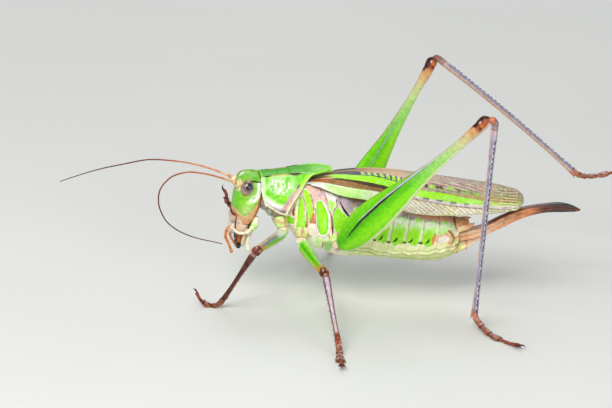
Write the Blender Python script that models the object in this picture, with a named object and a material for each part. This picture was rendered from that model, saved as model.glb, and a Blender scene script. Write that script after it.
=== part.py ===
"""A long-horned grasshopper: an adult female of the shield-backed bush-crickets, life size.

Run it with: blender --background --python part.py

The insect stands on a floor at z = 0 and faces -X, so its left side is at -Y. Lengths are in
millimetres here and are turned into metres when a mesh is made. While the parts are built, x = 0
lies between the middle legs. At the end everything moves so that the origin is under the middle
of the whole model.
"""

import math

import bmesh
import bpy
import numpy as np
from mathutils import Matrix, Vector

MM = 0.001
LEFT, RIGHT = -1, 1
SIDE_NAMES = {LEFT: "left", RIGHT: "right"}

# The driving sizes.
PRONOTUM_FRONT_X = -6.45
PROTHORAX_FRONT_X = -6.35
PROTHORAX_END_X = -2.3
MESOTHORAX_END_X = 2.0
THORAX_END_X = 5.9
MOUTH_Z = 11.7  # where the mouthparts hang below the head capsule
JOINT_GAP = 0.12  # clearance between pieces that meet
FOOT_RISE = 0.26  # height of a standing foot's centre line
SHELL = 0.5  # thickness of wings and of the pronotum
THIGH_START, THIGH_STOP = 0.15, 0.10  # how far a thigh stays from the hip and the knee
SHIN_START = 0.25  # how far below the knee a shin begins
SHIN_END = 0.36  # radius of a shin where the foot hangs
FIRST_SPINE, LAST_SPINE = 0.22, 0.92  # shares of the shin
SPINE_LEAN, SPINE_TAPER, CLAW_TAPER = 0.45, 0.3, 0.6
SMALL_FOOT = 0.86  # size of the fore and middle feet against the hind ones
FOOT_SIDES = 8

# Palette: colour, roughness.
PALETTE = {
    "green_cuticle": ((0.20, 0.55, 0.05), 0.42),
    "pale_cuticle": ((0.72, 0.66, 0.42), 0.5),
    "brown_cuticle": ((0.22, 0.09, 0.05), 0.4),
    "tan_cuticle": ((0.60, 0.36, 0.20), 0.42),
    "grey_cuticle": ((0.34, 0.27, 0.32), 0.45),
    "wing": ((0.38, 0.34, 0.20), 0.45),
    "eye": ((0.10, 0.07, 0.06), 0.15),
    "ovipositor": ((0.33, 0.10, 0.04), 0.25),
    "feeler": ((0.50, 0.22, 0.09), 0.45),
}


# --- Helpers -------------------------------------------------------------------------------


def clear_scene():
    for obj in list(bpy.data.objects):
        bpy.data.objects.remove(obj)


def material(name):
    found = bpy.data.materials.get(name)
    if found:
        return found
    colour, roughness = PALETTE[name]
    made = bpy.data.materials.new(name)
    made.use_nodes = True
    shader = made.node_tree.nodes["Principled BSDF"]
    shader.inputs["Base Color"].default_value = (*colour, 1)
    shader.inputs["Roughness"].default_value = roughness
    shader.inputs["Metallic"].default_value = 0
    return made


def profile(stations, at):
    """The values of a smooth curve through stations (place, value, value, ...) at one place."""
    table = np.array(stations, float)
    places, values = table[:, 0], table[:, 1:]
    at = min(max(at, places[0]), places[-1])
    i = int(min(max(np.searchsorted(places, at) - 1, 0), len(places) - 2))
    slopes = np.gradient(values, places, axis=0)
    span = places[i + 1] - places[i]
    t = (at - places[i]) / span
    return (
        (2 * t**3 - 3 * t**2 + 1) * values[i]
        + (t**3 - 2 * t**2 + t) * span * slopes[i]
        + (3 * t**2 - 2 * t**3) * values[i + 1]
        + (t**3 - t**2) * span * slopes[i + 1]
    )


def spread(low, high, count):
    return [low + (high - low) * i / (count - 1) for i in range(count)]


def oval(centre, across, up, half_across, half_up, sides, power=2.0):
    """A ring of points: an ellipse, or with a higher power one with flatter sides."""
    ring = []
    for i in range(sides):
        angle = 2 * math.pi * (i + 0.5) / sides
        c, s = math.cos(angle), math.sin(angle)
        ring.append(
            centre
            + across * (half_across * math.copysign(abs(c) ** (2 / power), c))
            + up * (half_up * math.copysign(abs(s) ** (2 / power), s))
        )
    return ring


def loft(rings):
    """A bmesh skinned over rings of equally many points, with both ends filled."""
    bm = bmesh.new()
    made = [[bm.verts.new(point) for point in ring] for ring in rings]
    sides = len(rings[0])
    for low, high in zip(made, made[1:]):
        for i in range(sides):
            j = (i + 1) % sides
            bm.faces.new((low[i], low[j], high[j], high[i]))
    bm.faces.new(made[0][::-1])
    bm.faces.new(made[-1])
    bm.normal_update()
    if bm.calc_volume(signed=True) < 0:
        bmesh.ops.reverse_faces(bm, faces=bm.faces[:])
        bm.normal_update()
    bm.faces.ensure_lookup_table()
    return bm


def finish(name, bm, colour):
    """The bmesh, in millimetres, as a named object in metres."""
    bmesh.ops.scale(bm, vec=(MM, MM, MM), verts=bm.verts[:])
    mesh = bpy.data.meshes.new(name)
    bm.to_mesh(mesh)
    bm.free()
    mesh.shade_smooth()
    mesh.set_sharp_from_angle(angle=math.radians(40))
    mesh.materials.append(material(colour))
    obj = bpy.data.objects.new(name, mesh)
    bpy.context.scene.collection.objects.link(obj)
    return obj


def grow(bm, face, steps, shrink):
    """Extrudes a face along a list of offsets, shrinking it at each one, as a spine or a claw."""
    for step in steps:
        face = bmesh.ops.extrude_discrete_faces(bm, faces=[face])["faces"][0]
        centre = face.calc_center_median() + Vector(step)
        for vert in face.verts:
            vert.co = centre + (vert.co + Vector(step) - centre) * shrink


def cut_clear(obj, *others):
    """Cuts obj back from its neighbours, leaving the joint gap."""
    for other in others:
        bm = bmesh.new()
        bm.from_mesh(other.data)
        bm.normal_update()
        for vert in bm.verts:
            vert.co += vert.normal * JOINT_GAP * MM
        mesh = bpy.data.meshes.new("clearance")
        bm.to_mesh(mesh)
        bm.free()
        cutter = bpy.data.objects.new(f"{obj.name}_from_{other.name}", mesh)
        bpy.context.scene.collection.objects.link(cutter)
        cutter.hide_render = True
        cutter.display_type = "WIRE"
        cut = obj.modifiers.new("clearance", "BOOLEAN")
        cut.operation = "DIFFERENCE"
        cut.object = cutter


def frames_along(points, first_up):
    """(place, forward, across, up) at each point of a path, turning as little as possible."""
    frames, up = [], Vector(first_up)
    for i, point in enumerate(points):
        ahead = points[min(i + 1, len(points) - 1)] - points[max(i - 1, 0)]
        forward = ahead.normalized()
        up = (up - forward * up.dot(forward)).normalized()
        frames.append((point, forward, forward.cross(up), up))
    return frames


def smooth_path(knots, count):
    """Evenly numbered points on a smooth curve through a few knots."""
    lengths = [0.0]
    for a, b in zip(knots, knots[1:]):
        lengths.append(lengths[-1] + (Vector(b) - Vector(a)).length)
    stations = [(length, *knot) for length, knot in zip(lengths, knots)]
    return [Vector(profile(stations, s)) for s in spread(0, lengths[-1], count)]


def tube(points, radius_at, sides, up=(0, 0, 1)):
    """Rings of a round tube along points; radius_at takes the share of the way along."""
    rings = []
    for i, (place, _, across, high) in enumerate(frames_along(points, up)):
        r = radius_at(i / (len(points) - 1))
        rings.append(oval(place, across, high, r, r, sides))
    return rings


X, Y, Z = Vector((1, 0, 0)), Vector((0, 1, 0)), Vector((0, 0, 1))


def barrel(stations, places, sides, power=2.0):
    """Rings across the body at each x of places, from stations (x, bottom, top, half width)."""
    rings = []
    for x in places:
        bottom, top, half_width = profile(stations, x)
        centre = Vector((x, 0, (bottom + top) / 2))
        rings.append(oval(centre, Y, Z, half_width, (top - bottom) / 2, sides, power))
    return rings


def column(stations, heights, sides, y=0.0, power=2.0):
    """Rings across a hanging part at each z of heights, from stations (z, front, back, half
    width, and how far the middle stands off to the side)."""
    rings = []
    for z in heights:
        front, back, half_width, off = profile(stations, z)
        centre = Vector(((front + back) / 2, y + off, z))
        rings.append(oval(centre, X, Y, (back - front) / 2, half_width, sides, power))
    return rings


# --- Head ----------------------------------------------------------------------------------

HEAD = [  # z, front, back, half width, shift to the side
    (11.80, -9.95, -6.95, 2.45, 0),
    (12.60, -10.02, -6.75, 2.80, 0),
    (13.80, -10.00, -6.62, 3.00, 0),
    (15.10, -9.80, -6.60, 3.00, 0),
    (16.20, -9.50, -6.60, 2.80, 0),
    (17.00, -9.05, -6.60, 2.20, 0),
    (17.35, -8.65, -6.70, 1.50, 0),
    (17.52, -8.20, -7.00, 0.70, 0),
]
EYE_CENTRE = Vector((-8.45, 2.45, 15.88))
EYE_RADII = Vector((0.95, 0.82, 1.02))
EYE_LEAN = math.radians(18)  # the top of the eye leans back


def head():
    heights = [11.8, 12.2, 13.1, 14.1, 15.1, 15.9, 16.5, 17.0, 17.35, 17.52]
    rings = column(HEAD, heights, 14, power=2.2)
    return finish("head", loft(rings), "green_cuticle")


def eye(side):
    bm = bmesh.new()
    bmesh.ops.create_uvsphere(bm, u_segments=10, v_segments=6, radius=1.0)
    bmesh.ops.scale(bm, vec=EYE_RADII, verts=bm.verts[:])
    lean = Matrix.Rotation(EYE_LEAN, 3, "Y")
    bmesh.ops.rotate(bm, matrix=lean, verts=bm.verts[:])
    place = Vector((EYE_CENTRE.x, side * EYE_CENTRE.y, EYE_CENTRE.z))
    bmesh.ops.translate(bm, vec=place, verts=bm.verts[:])
    return finish(f"eye_{SIDE_NAMES[side]}", bm, "eye")


def labrum():
    """The clypeus and the upper lip below it, one hanging plate."""
    stations = [
        (9.00, -9.95, -9.62, 0.55, 0),
        (9.40, -10.15, -9.62, 1.00, 0),
        (10.20, -10.28, -9.62, 1.25, 0),
        (10.80, -10.18, -9.62, 1.10, 0),
        (11.00, -10.28, -9.62, 1.35, 0),
        (MOUTH_Z, -10.18, -9.62, 1.65, 0),
    ]
    rings = column(stations, [9.0, 9.2, 9.7, 10.2, 10.8, 11.0, MOUTH_Z], 10, power=2.6)
    return finish("labrum", loft(rings), "pale_cuticle")


def mandible(side):
    stations = [
        (6.95, -9.05, -8.60, 0.28, 0.36 * side),
        (7.90, -9.30, -8.30, 0.50, 0.62 * side),
        (9.10, -9.42, -8.00, 0.68, 0.98 * side),
        (10.40, -9.46, -7.80, 0.80, 1.30 * side),
        (MOUTH_Z, -9.46, -7.70, 0.85, 1.50 * side),
    ]
    rings = column(stations, [6.95, 7.4, 8.1, 9.1, 10.4, MOUTH_Z], 8)
    return finish(f"mandible_{SIDE_NAMES[side]}", loft(rings), "tan_cuticle")


def labium():
    """The lower lip, which closes the mouth from behind."""
    stations = [
        (8.10, -7.85, -7.45, 0.70, 0),
        (9.10, -7.80, -7.10, 1.20, 0),
        (10.30, -7.62, -6.75, 1.50, 0),
        (MOUTH_Z, -7.55, -6.65, 1.45, 0),
    ]
    rings = column(stations, [8.1, 8.3, 9.1, 10.3, MOUTH_Z], 10)
    return finish("labium", loft(rings), "pale_cuticle")


MAXILLARY_PALP = {  # the right one is drawn in beside the mouth
    LEFT: [
        (-7.12, -2.35, 10.80),
        (-8.27, -2.75, 9.79),
        (-9.21, -2.75, 9.76),
        (-10.51, -2.35, 10.44),
        (-10.92, -2.30, 9.14),
        (-10.43, -2.35, 8.12),
        (-9.89, -2.35, 6.81),
    ],
    RIGHT: [
        (-7.12, 2.35, 10.80),
        (-7.90, 2.75, 9.60),
        (-8.70, 2.75, 9.05),
        (-9.45, 2.40, 8.90),
        (-9.65, 2.25, 8.00),
        (-9.20, 2.20, 7.10),
        (-8.60, 2.10, 6.30),
    ],
}
LABIAL_PALP = {
    LEFT: [(-7.40, -1.75, 9.90), (-7.75, -2.00, 9.10), (-7.80, -2.05, 8.20), (-7.65, -2.05, 6.95)],
    RIGHT: [(-7.40, 1.75, 9.90), (-7.60, 1.60, 9.00), (-7.95, 1.30, 8.00), (-8.10, 1.15, 6.75)],
}


def palp(name, routes, side, count):
    """A jointed feeler beside the mouth."""
    points = smooth_path(routes[side], count)
    rings = tube(points, lambda t: 0.25 + 0.06 * math.cos(2 * math.pi * 4 * t), 6)
    return finish(f"{name}_{SIDE_NAMES[side]}", loft(rings), "pale_cuticle")


# The feelers' routes: the left one curls down in front of the mouth, the right one reaches ahead.
ANTENNA_ROUTE = {
    LEFT: [
        (-10.40, -1.70, 16.52),
        (-12.21, -2.50, 17.27),
        (-15.12, -4.00, 18.24),
        (-17.30, -5.50, 18.68),
        (-19.34, -6.50, 18.16),
        (-20.61, -7.00, 16.64),
        (-20.71, -7.00, 15.01),
        (-19.94, -6.50, 12.96),
        (-18.02, -5.00, 10.78),
        (-15.15, -4.00, 9.32),
        (-12.62, -3.30, 8.60),
        (-11.40, -3.00, 8.25),
    ],
    RIGHT: [
        (-10.55, 1.65, 16.42),
        (-12.24, 2.50, 16.83),
        (-14.92, 4.00, 17.15),
        (-18.06, 5.00, 17.25),
        (-20.64, 6.00, 17.01),
        (-24.00, 7.00, 15.99),
        (-27.36, 8.00, 14.82),
        (-30.63, 8.50, 13.51),
        (-32.31, 9.00, 12.68),
    ],
}
ANTENNA_RADIUS = 0.25


def antenna(side):
    """The thick first joint, then the thread in two lengths."""
    name = f"antenna_{SIDE_NAMES[side]}"
    route = [Vector(knot) for knot in ANTENNA_ROUTE[side]]
    socket = Vector((-9.35, side * 1.10, 16.00))
    toward = (route[0] - socket).normalized()
    stop = route[0] - toward * 0.1
    scape = tube(
        [socket + (stop - socket) * t for t in (0, 0.35, 0.7, 0.8, 1)],
        lambda t: 0.42 - 0.14 * t,
        8,
    )
    made = [finish(f"{name}_base", loft(scape), "tan_cuticle")]
    points = smooth_path(route, 33)
    half = len(points) // 2
    for label, stretch in (("inner", points[: half + 1]), ("outer", points[half:])):
        stretch = list(stretch)
        if label == "outer":
            stretch[0] = stretch[0].lerp(stretch[1], 0.12)
        rings = tube(stretch, lambda t: ANTENNA_RADIUS, 5)
        made.append(finish(f"{name}_{label}", loft(rings), "feeler"))
    return made


# --- Thorax --------------------------------------------------------------------------------

CARINA = [  # x, carina height, disc half width, lobe half width, lobe bottom
    (-6.45, 17.22, 1.75, 2.75, 13.95),
    (-5.75, 17.35, 1.65, 2.95, 13.65),
    (-4.20, 17.58, 1.60, 3.15, 12.95),
    (-3.50, 17.68, 1.65, 3.25, 12.78),
    (-1.20, 18.02, 2.15, 3.40, 12.78),
    (0.80, 18.15, 2.55, 3.45, 12.80),
    (3.20, 18.28, 2.50, 3.40, 12.80),
]
HIND_EDGE = [  # share of the way from the midline to the lobe's bottom, x of the hind edge
    (0.00, 3.15),
    (0.16, 2.60),
    (0.30, 1.05),
    (0.37, 0.10),
    (0.45, -0.45),
    (0.60, -1.15),
    (0.80, -2.15),
    (0.92, -2.80),
    (1.00, -3.30),
]


def pronotum_point(x, v):
    """A point of the shield: v is 0 at the midline, 1 at a lobe's bottom, signed by side."""
    carina_z, disc, lobe, bottom = profile(CARINA, x)
    side, v = (-1 if v < 0 else 1), abs(v)
    carina_v = 0.34
    if v < carina_v:
        t = v / carina_v
        y, z = disc * t, carina_z + 0.18 * (1 - t * t)
    else:
        t = (v - carina_v) / (1 - carina_v)
        y = disc + (lobe - disc) * math.sin(min(t * 1.35, 1) * math.pi / 2)
        z = carina_z + (bottom - carina_z) * (t - 0.05 * math.sin(math.pi * t))
    return Vector((x, side * y, z))


def pronotum():
    """The saddle-shaped shield over the front of the thorax."""
    bm = bmesh.new()
    half = [0.18, 0.34, 0.42, 0.55, 0.72, 0.88, 1]
    across = [-v for v in half[::-1]] + [0] + half
    rows = []
    for v in across:
        (hind,) = profile(HIND_EDGE, abs(v))
        front = PRONOTUM_FRONT_X + 0.65 * max(0, (abs(v) - 0.6) / 0.4) ** 2
        rows.append([bm.verts.new(pronotum_point(x, v)) for x in spread(front, hind, 7)])
    for low, high in zip(rows, rows[1:]):
        for i in range(len(low) - 1):
            bm.faces.new((low[i], low[i + 1], high[i + 1], high[i]))
    bmesh.ops.recalc_face_normals(bm, faces=bm.faces[:])
    top = max(bm.faces, key=lambda face: face.calc_center_median().z)
    if top.normal.z < 0:
        bmesh.ops.reverse_faces(bm, faces=bm.faces[:])
    obj = finish("pronotum", bm, "green_cuticle")
    shell = obj.modifiers.new("shell", "SOLIDIFY")
    shell.thickness = SHELL * MM
    shell.offset = -1
    return obj


TRUNK = [  # x, bottom, top, half width
    (-6.35, 12.75, 16.45, 1.75),
    (-5.00, 11.65, 16.65, 2.00),
    (-3.60, 10.85, 16.80, 2.15),
    (-2.30, 10.05, 16.75, 2.45),
    (-0.66, 8.00, 15.55, 2.90),
    (1.00, 7.50, 15.60, 3.20),
    (2.40, 7.10, 15.70, 3.40),
    (4.50, 6.40, 15.70, 3.60),
    (6.00, 6.35, 15.60, 3.70),
    (8.60, 6.35, 15.40, 3.85),
    (12.20, 6.12, 14.80, 3.90),
    (15.30, 5.95, 14.10, 3.80),
    (17.50, 5.92, 13.50, 3.55),
    (19.20, 6.15, 12.80, 3.05),
    (20.40, 6.75, 12.15, 2.45),
    (21.10, 7.40, 11.75, 1.75),
]
PROTHORAX_POWER, THORAX_POWER, ABDOMEN_POWER = 2.2, 2.5, 2.15  # how flat the sides are


def trunk_length(name, start, end, power):
    """One length of the thorax, from start to end less the joint gap."""
    places = spread(start, end - JOINT_GAP, 5)
    return finish(name, loft(barrel(TRUNK, places, 16, power)), "pale_cuticle")


# Where the abdomen's rings begin and end along x, one list for each length of the abdomen.
RINGS = {
    "abdomen_front": (5.90, 7.05, 9.20),
    "abdomen_middle": (9.20, 11.35, 13.50, 15.65),
    "abdomen_rear": (15.65, 17.80, 19.60, 21.10),
}


def abdomen(name, edges):
    """A length of the abdomen; each of its rings overlaps the next with a small step."""
    step, flare, overlap = 0.14, 0.02, 0.18
    places, swell = [], []
    for low, high in zip(edges, edges[1:]):
        places += [low + 0.02, low + 0.35 * (high - low), high - overlap]
        swell += [-step, 0.0, flare]
    places[-1] = edges[-1] - JOINT_GAP
    rings = []
    for x, grown in zip(places, swell):
        bottom, top, half_width = profile(TRUNK, x)
        centre = Vector((x, 0, (bottom + top) / 2))
        half_height = (top - bottom) / 2 + grown
        rings.append(oval(centre, Y, Z, half_width + grown, half_height, 16, ABDOMEN_POWER))
    return finish(name, loft(rings), "green_cuticle")


# --- Tail end ------------------------------------------------------------------------------


def epiproct():
    """The small flap that closes the abdomen above the egg-layer's base."""
    stations = [(21.2, 10.15, 11.75, 1.25), (21.8, 10.6, 11.75, 0.9), (22.4, 10.95, 11.5, 0.4)]
    rings = barrel(stations, [21.2, 21.6, 22.0, 22.4], 8)
    return finish("epiproct", loft(rings), "tan_cuticle")


def cercus(side):
    knots = [(21.25, side * 1.70, 10.95), (22.0, side * 1.70, 11.2), (23.0, side * 1.30, 11.55)]
    points = smooth_path(knots, 6)
    rings = tube(points, lambda t: 0.40 * (1 - t) + 0.10, 8)
    return finish(f"cercus_{SIDE_NAMES[side]}", loft(rings), "tan_cuticle")


def subgenital_plate():
    stations = [
        (21.2, 7.45, 8.30, 1.60),
        (22.1, 7.75, 8.55, 1.50),
        (23.3, 8.30, 8.95, 1.10),
        (24.2, 8.85, 9.25, 0.50),
    ]
    rings = barrel(stations, [21.2, 21.7, 22.4, 23.1, 23.7, 24.2], 10)
    return finish("subgenital_plate", loft(rings), "pale_cuticle")


OVIPOSITOR = [  # x, lower edge, seam between the blades, upper edge, half width
    (21.25, 8.75, 9.40, 10.05, 1.05),
    (22.60, 9.00, 9.70, 10.45, 0.95),
    (24.10, 9.38, 10.10, 10.83, 0.75),
    (27.10, 10.70, 11.55, 12.42, 0.55),
    (29.65, 12.05, 12.80, 13.55, 0.50),
    (32.45, 12.92, 13.55, 14.15, 0.45),
    (35.80, 13.18, 13.75, 14.34, 0.40),
    (37.10, 13.25, 13.58, 13.95, 0.30),
    (37.85, 13.38, 13.48, 13.60, 0.12),
]


def ovipositor_blade(name, lower):
    """The upper or the lower pair of the egg-layer's curved valves."""
    places = [21.25, 22.6, 24.1, 25.6, 27.1, 28.5, 29.9, 31.5, 33.2, 35.2, 36.8, 37.7]
    seam_gap = 0.03
    rings = []
    for x in places:
        bottom, seam, top, half_width = profile(OVIPOSITOR, x)
        low, high = (bottom, seam - seam_gap) if lower else (seam + seam_gap, top)
        centre = Vector((x, 0, (low + high) / 2))
        rings.append(oval(centre, Y, Z, half_width, (high - low) / 2, 8, 2.8))
    return finish(name, loft(rings), "ovipositor")


# --- Wings ---------------------------------------------------------------------------------

WING = [  # x, top, shoulder half width, front-margin half width, front-margin height
    (-0.30, 16.95, 2.20, 2.85, 16.55),
    (1.00, 17.22, 2.45, 3.35, 16.30),
    (3.40, 17.72, 2.65, 3.70, 15.68),
    (7.70, 18.22, 2.80, 4.00, 15.05),
    (12.60, 18.00, 2.70, 4.05, 13.75),
    (15.90, 17.65, 2.55, 3.90, 13.32),
    (19.60, 17.20, 2.20, 3.60, 13.30),
    (23.00, 16.80, 1.80, 3.10, 13.45),
    (27.20, 16.10, 1.15, 2.20, 13.75),
    (28.90, 15.55, 0.70, 1.40, 14.20),
    (29.50, 15.10, 0.45, 0.80, 14.65),
]
OVERLAP_STEP = 0.66  # the right wing's back lies this far under the left one's


def wing_point(x, v, side):
    """A point on a wing case: v runs from 0 at its inner edge to 1 at its front margin."""
    top, shoulder, margin, bottom = profile(WING, x)
    back_share = 0.42
    crossing = min(max((shoulder - 0.7) / 1.3, 0), 1)  # the wings part again near their tips
    drop = 0.0 if side == LEFT else OVERLAP_STEP * min(crossing / 0.25, 1)
    inner = 0.1 - (0.1 + 0.45 * shoulder) * crossing
    if v < back_share:
        t = v / back_share
        y = inner + (shoulder - inner) * t
        z = top - drop * (1 - max(0, (t - 0.65) / 0.35) ** 2) - 0.22 * t**3
    else:
        t = (v - back_share) / (1 - back_share)
        y = shoulder + (margin - shoulder) * math.sin(t * math.pi / 2)
        z = top - 0.22 + (bottom - top + 0.22) * t
    return Vector((x, side * y, z))


def tegmen(side):
    """A leathery fore wing, folded along the shoulder: its back lies flat, its front hangs."""
    bm = bmesh.new()
    places = [-0.3, 1.0, 3.0, 5.5, 9.0, 12.8, 16.0, 19.6, 23.0, 25.5, 27.3, 28.6, 29.5]
    across = [0, 0.2, 0.42, 0.52, 0.76, 1]
    rows = [[bm.verts.new(wing_point(x, v, side)) for v in across] for x in places]
    for low, high in zip(rows, rows[1:]):
        for i in range(len(across) - 1):
            bm.faces.new((low[i], low[i + 1], high[i + 1], high[i]))
    bmesh.ops.recalc_face_normals(bm, faces=bm.faces[:])
    top = max(bm.faces, key=lambda face: face.calc_center_median().z)
    if top.normal.z < 0:
        bmesh.ops.reverse_faces(bm, faces=bm.faces[:])
    obj = finish(f"forewing_{SIDE_NAMES[side]}", bm, "wing")
    shell = obj.modifiers.new("shell", "SOLIDIFY")
    shell.thickness = SHELL * MM
    shell.offset = -1
    return obj


def hind_wing(side):
    """The folded fan under a wing case, a long flat pleat beside the midline."""
    rings = []
    for x in [7.5, 10, 13.5, 17, 21, 25, 27.4, 28.4]:
        top, shoulder, _, _ = profile(WING, x)
        half = max(0.25, 0.36 * shoulder)
        centre = Vector((x, side * (half + 0.08), top - OVERLAP_STEP - SHELL - 0.5))
        rings.append(oval(centre, Y, Z, half, 0.25, 8, 2.6))
    return finish(f"hindwing_{SIDE_NAMES[side]}", loft(rings), "wing")


# --- Legs ----------------------------------------------------------------------------------

# For each leg: the hip on the trunk, where the hip piece ends, the knee, the shin's end and
# the points of the foot. The right foreleg and the right hind leg are lifted. The hind shins
# are hung beyond the end of the thigh, at shin_top.
LEGS = {
    "foreleg_left": {
        "hip": [(-3.7, -1.7, 12.0), (-3.2, -2.75, 9.9)],
        "knee": (-8.05, -10.2, 9.5),
        "ankle": (-11.0, -5.6, 1.45),
        "foot": [
            (-11.9, -5.0, FOOT_RISE),
            (-13.1, -4.7, FOOT_RISE),
            (-14.0, -4.6, 0.9),
            (-14.6, -4.5, 1.9),
        ],
    },
    "midleg_left": {
        "hip": [(-0.6, -2.2, 10.6), (-0.85, -3.5, 8.75)],
        "knee": (1.0, -13.1, 7.6),
        "ankle": (1.75, -22.1, 1.25),
        "foot": [
            (1.75, -23.3, FOOT_RISE),
            (1.5, -25.4, FOOT_RISE),
            (1.3, -27.1, 0.5),
            (1.1, -28.8, 0.8),
        ],
    },
    "hindleg_left": {
        "hip": [(3.9, -2.4, 9.9), (4.2, -4.05, 8.5)],
        "knee": (19.6, -18.3, 30.7),
        "shin_top": (20.3, -18.5, 30.45),
        "ankle": (21.65, -11.9, 1.9),
        "foot": [
            (22.7, -13.3, 0.75),
            (23.8, -15.3, FOOT_RISE),
            (25.0, -17.3, FOOT_RISE),
            (26.3, -19.5, 0.6),
        ],
    },
    "foreleg_right": {
        "hip": [(-3.7, 1.7, 12.0), (-3.2, 2.75, 9.9)],
        "knee": (-1.9, 11.0, 12.3),
        "ankle": (-8.7, 5.0, 10.3),
        "foot": [(-9.2, 4.9, 11.0), (-10.0, 5.0, 11.9), (-10.15, 5.0, 12.8), (-10.5, 5.1, 13.4)],
    },
    "midleg_right": {
        "hip": [(-0.5, 2.2, 10.6), (-0.6, 3.5, 8.9)],
        "knee": (3.3, 12.1, 8.2),
        "ankle": (7.3, 19.5, 1.25),
        "foot": [(7.9, 20.5, FOOT_RISE), (8.9, 22.3, FOOT_RISE), (9.7, 23.8, 0.5), (10.5, 25.4, 0.8)],
    },
    "hindleg_right": {
        "hip": [(4.5, 2.4, 9.9), (5.3, 4.05, 8.5)],
        "knee": (20.1, 19.6, 29.1),
        "shin_top": (20.5, 19.7, 29.2),
        "ankle": (43.6, 24.4, 11.5),
        "foot": [(45.0, 24.7, 11.2), (47.2, 25.0, 11.3), (49.3, 25.4, 11.7), (51.7, 25.8, 12.5)],
    },
}
# Thigh outline: share of the length, height above and below the axis, half width.
SLIM_THIGH = [
    (0.00, 0.45, 0.45, 0.40),
    (0.05, 0.72, 0.75, 0.60),
    (0.25, 0.85, 0.88, 0.66),
    (0.60, 0.74, 0.74, 0.58),
    (0.85, 0.60, 0.60, 0.52),
    (0.95, 0.66, 0.60, 0.56),
    (1.00, 0.42, 0.40, 0.40),
]
HIND_THIGH = [
    (0.00, 0.55, 0.60, 0.55),
    (0.03, 1.25, 1.20, 0.85),
    (0.10, 2.00, 1.85, 1.10),
    (0.22, 2.40, 2.15, 1.22),
    (0.38, 1.90, 1.70, 1.02),
    (0.52, 1.22, 1.12, 0.78),
    (0.66, 0.80, 0.74, 0.62),
    (0.82, 0.62, 0.58, 0.54),
    (0.93, 0.80, 0.68, 0.62),
    (0.975, 0.92, 0.66, 0.62),
    (1.00, 0.52, 0.40, 0.42),
]
# Shins: radius by share of the length; spines per row, how far one stands out, and half the
# share of the shin that its root takes.
SHINS = {
    "foreleg": {
        "thickness": [(0, 0.40), (0.12, 0.48), (0.3, 0.40), (0.9, 0.36), (1, 0.42)],
        "spines": 5,
        "length": 0.75,
        "root": 0.03,
    },
    "midleg": {
        "thickness": [(0, 0.40), (0.08, 0.46), (0.3, 0.38), (0.9, 0.36), (1, 0.42)],
        "spines": 5,
        "length": 0.70,
        "root": 0.03,
    },
    "hindleg": {
        "thickness": [(0, 0.40), (0.05, 0.47), (0.15, 0.40), (0.9, 0.42), (1, 0.54)],
        "spines": 7,
        "length": 0.50,
        "root": 0.014,
    },
}
FOOT = [  # share of the way, half width, half height: three padded joints and the claw joint
    (0.00, 0.36, 0.34),
    (0.14, 0.50, 0.40),
    (0.20, 0.38, 0.34),
    (0.32, 0.54, 0.40),
    (0.38, 0.38, 0.34),
    (0.55, 0.66, 0.40),
    (0.62, 0.28, 0.26),
    (0.85, 0.26, 0.24),
    (1.00, 0.36, 0.30),
]


def leg_frame(places):
    """The knee's hinge axis: thigh and shin swing in the plane square to it."""
    hip, knee, ankle = Vector(places["hip"][1]), Vector(places["knee"]), Vector(places["ankle"])
    hinge = (knee - hip).cross(ankle - knee).normalized()
    return hip, knee, ankle, hinge


def hip_piece(name, places):
    start, end = (Vector(point) for point in places["hip"])
    points = [start.lerp(end, t) for t in (0, 0.35, 0.7, 1.0)]
    size = 1.12 if name.startswith("hindleg") else 0.95
    taper = 0.38
    rings = tube(points, lambda t: size * (1 - taper * t * t), 8)
    return finish(f"{name}_coxa", loft(rings), "pale_cuticle")


def thigh(name, places):
    hip, knee, ankle, hinge = leg_frame(places)
    hind = name.startswith("hindleg")
    forward = (knee - hip).normalized()
    outer = hinge.cross(forward)
    if outer.dot(ankle - knee) > 0:
        outer = -outer
    stations = HIND_THIGH if hind else SLIM_THIGH
    start, end = hip + forward * THIGH_START, knee - forward * THIGH_STOP
    rings = []
    for share, *_ in stations:
        above, below, half_width = profile(stations, share)
        centre = start.lerp(end, share) + outer * ((above - below) / 2)
        rings.append(oval(centre, hinge, outer, half_width, (above + below) / 2, 10, 2.2))
    return finish(f"{name}_femur", loft(rings), "green_cuticle")


def shin(name, places):
    """A shin with two rows of spines: on the back of a hind leg, on the inside of the others."""
    kind = name.split("_")[0]
    hip, knee, ankle, hinge = leg_frame(places)
    top = Vector(places.get("shin_top", knee))
    forward = (ankle - top).normalized()
    back = hinge.cross(forward)
    if back.dot(hip - knee) > 0:
        back = -back
    spine_side = back if kind == "hindleg" else -back
    shape = SHINS[kind]
    start, end = top + forward * SHIN_START, ankle
    above = [0, 0.06, 0.14]  # shares of the length before the spines begin
    roots = spread(FIRST_SPINE, LAST_SPINE, shape["spines"])
    shares = above + [r + d for r in roots for d in (-shape["root"], shape["root"])] + [1.0]
    sides = 6
    rings = []
    for share in shares:
        (radius,) = profile(shape["thickness"], share)
        rings.append(oval(start.lerp(end, share), hinge, spine_side, radius, radius, sides))
    bm = loft(rings)
    length = shape["length"]
    faces = []
    for row in range(shape["spines"]):
        first = (len(above) + 2 * row) * sides
        faces += [bm.faces[first], bm.faces[first + 1]]
    for face in faces:
        spine = face.normal.copy() * length + forward * length * SPINE_LEAN
        grow(bm, face, [spine], SPINE_TAPER)
    colour = "grey_cuticle" if kind == "hindleg" else "brown_cuticle"
    return finish(f"{name}_tibia", bm, colour)


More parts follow.
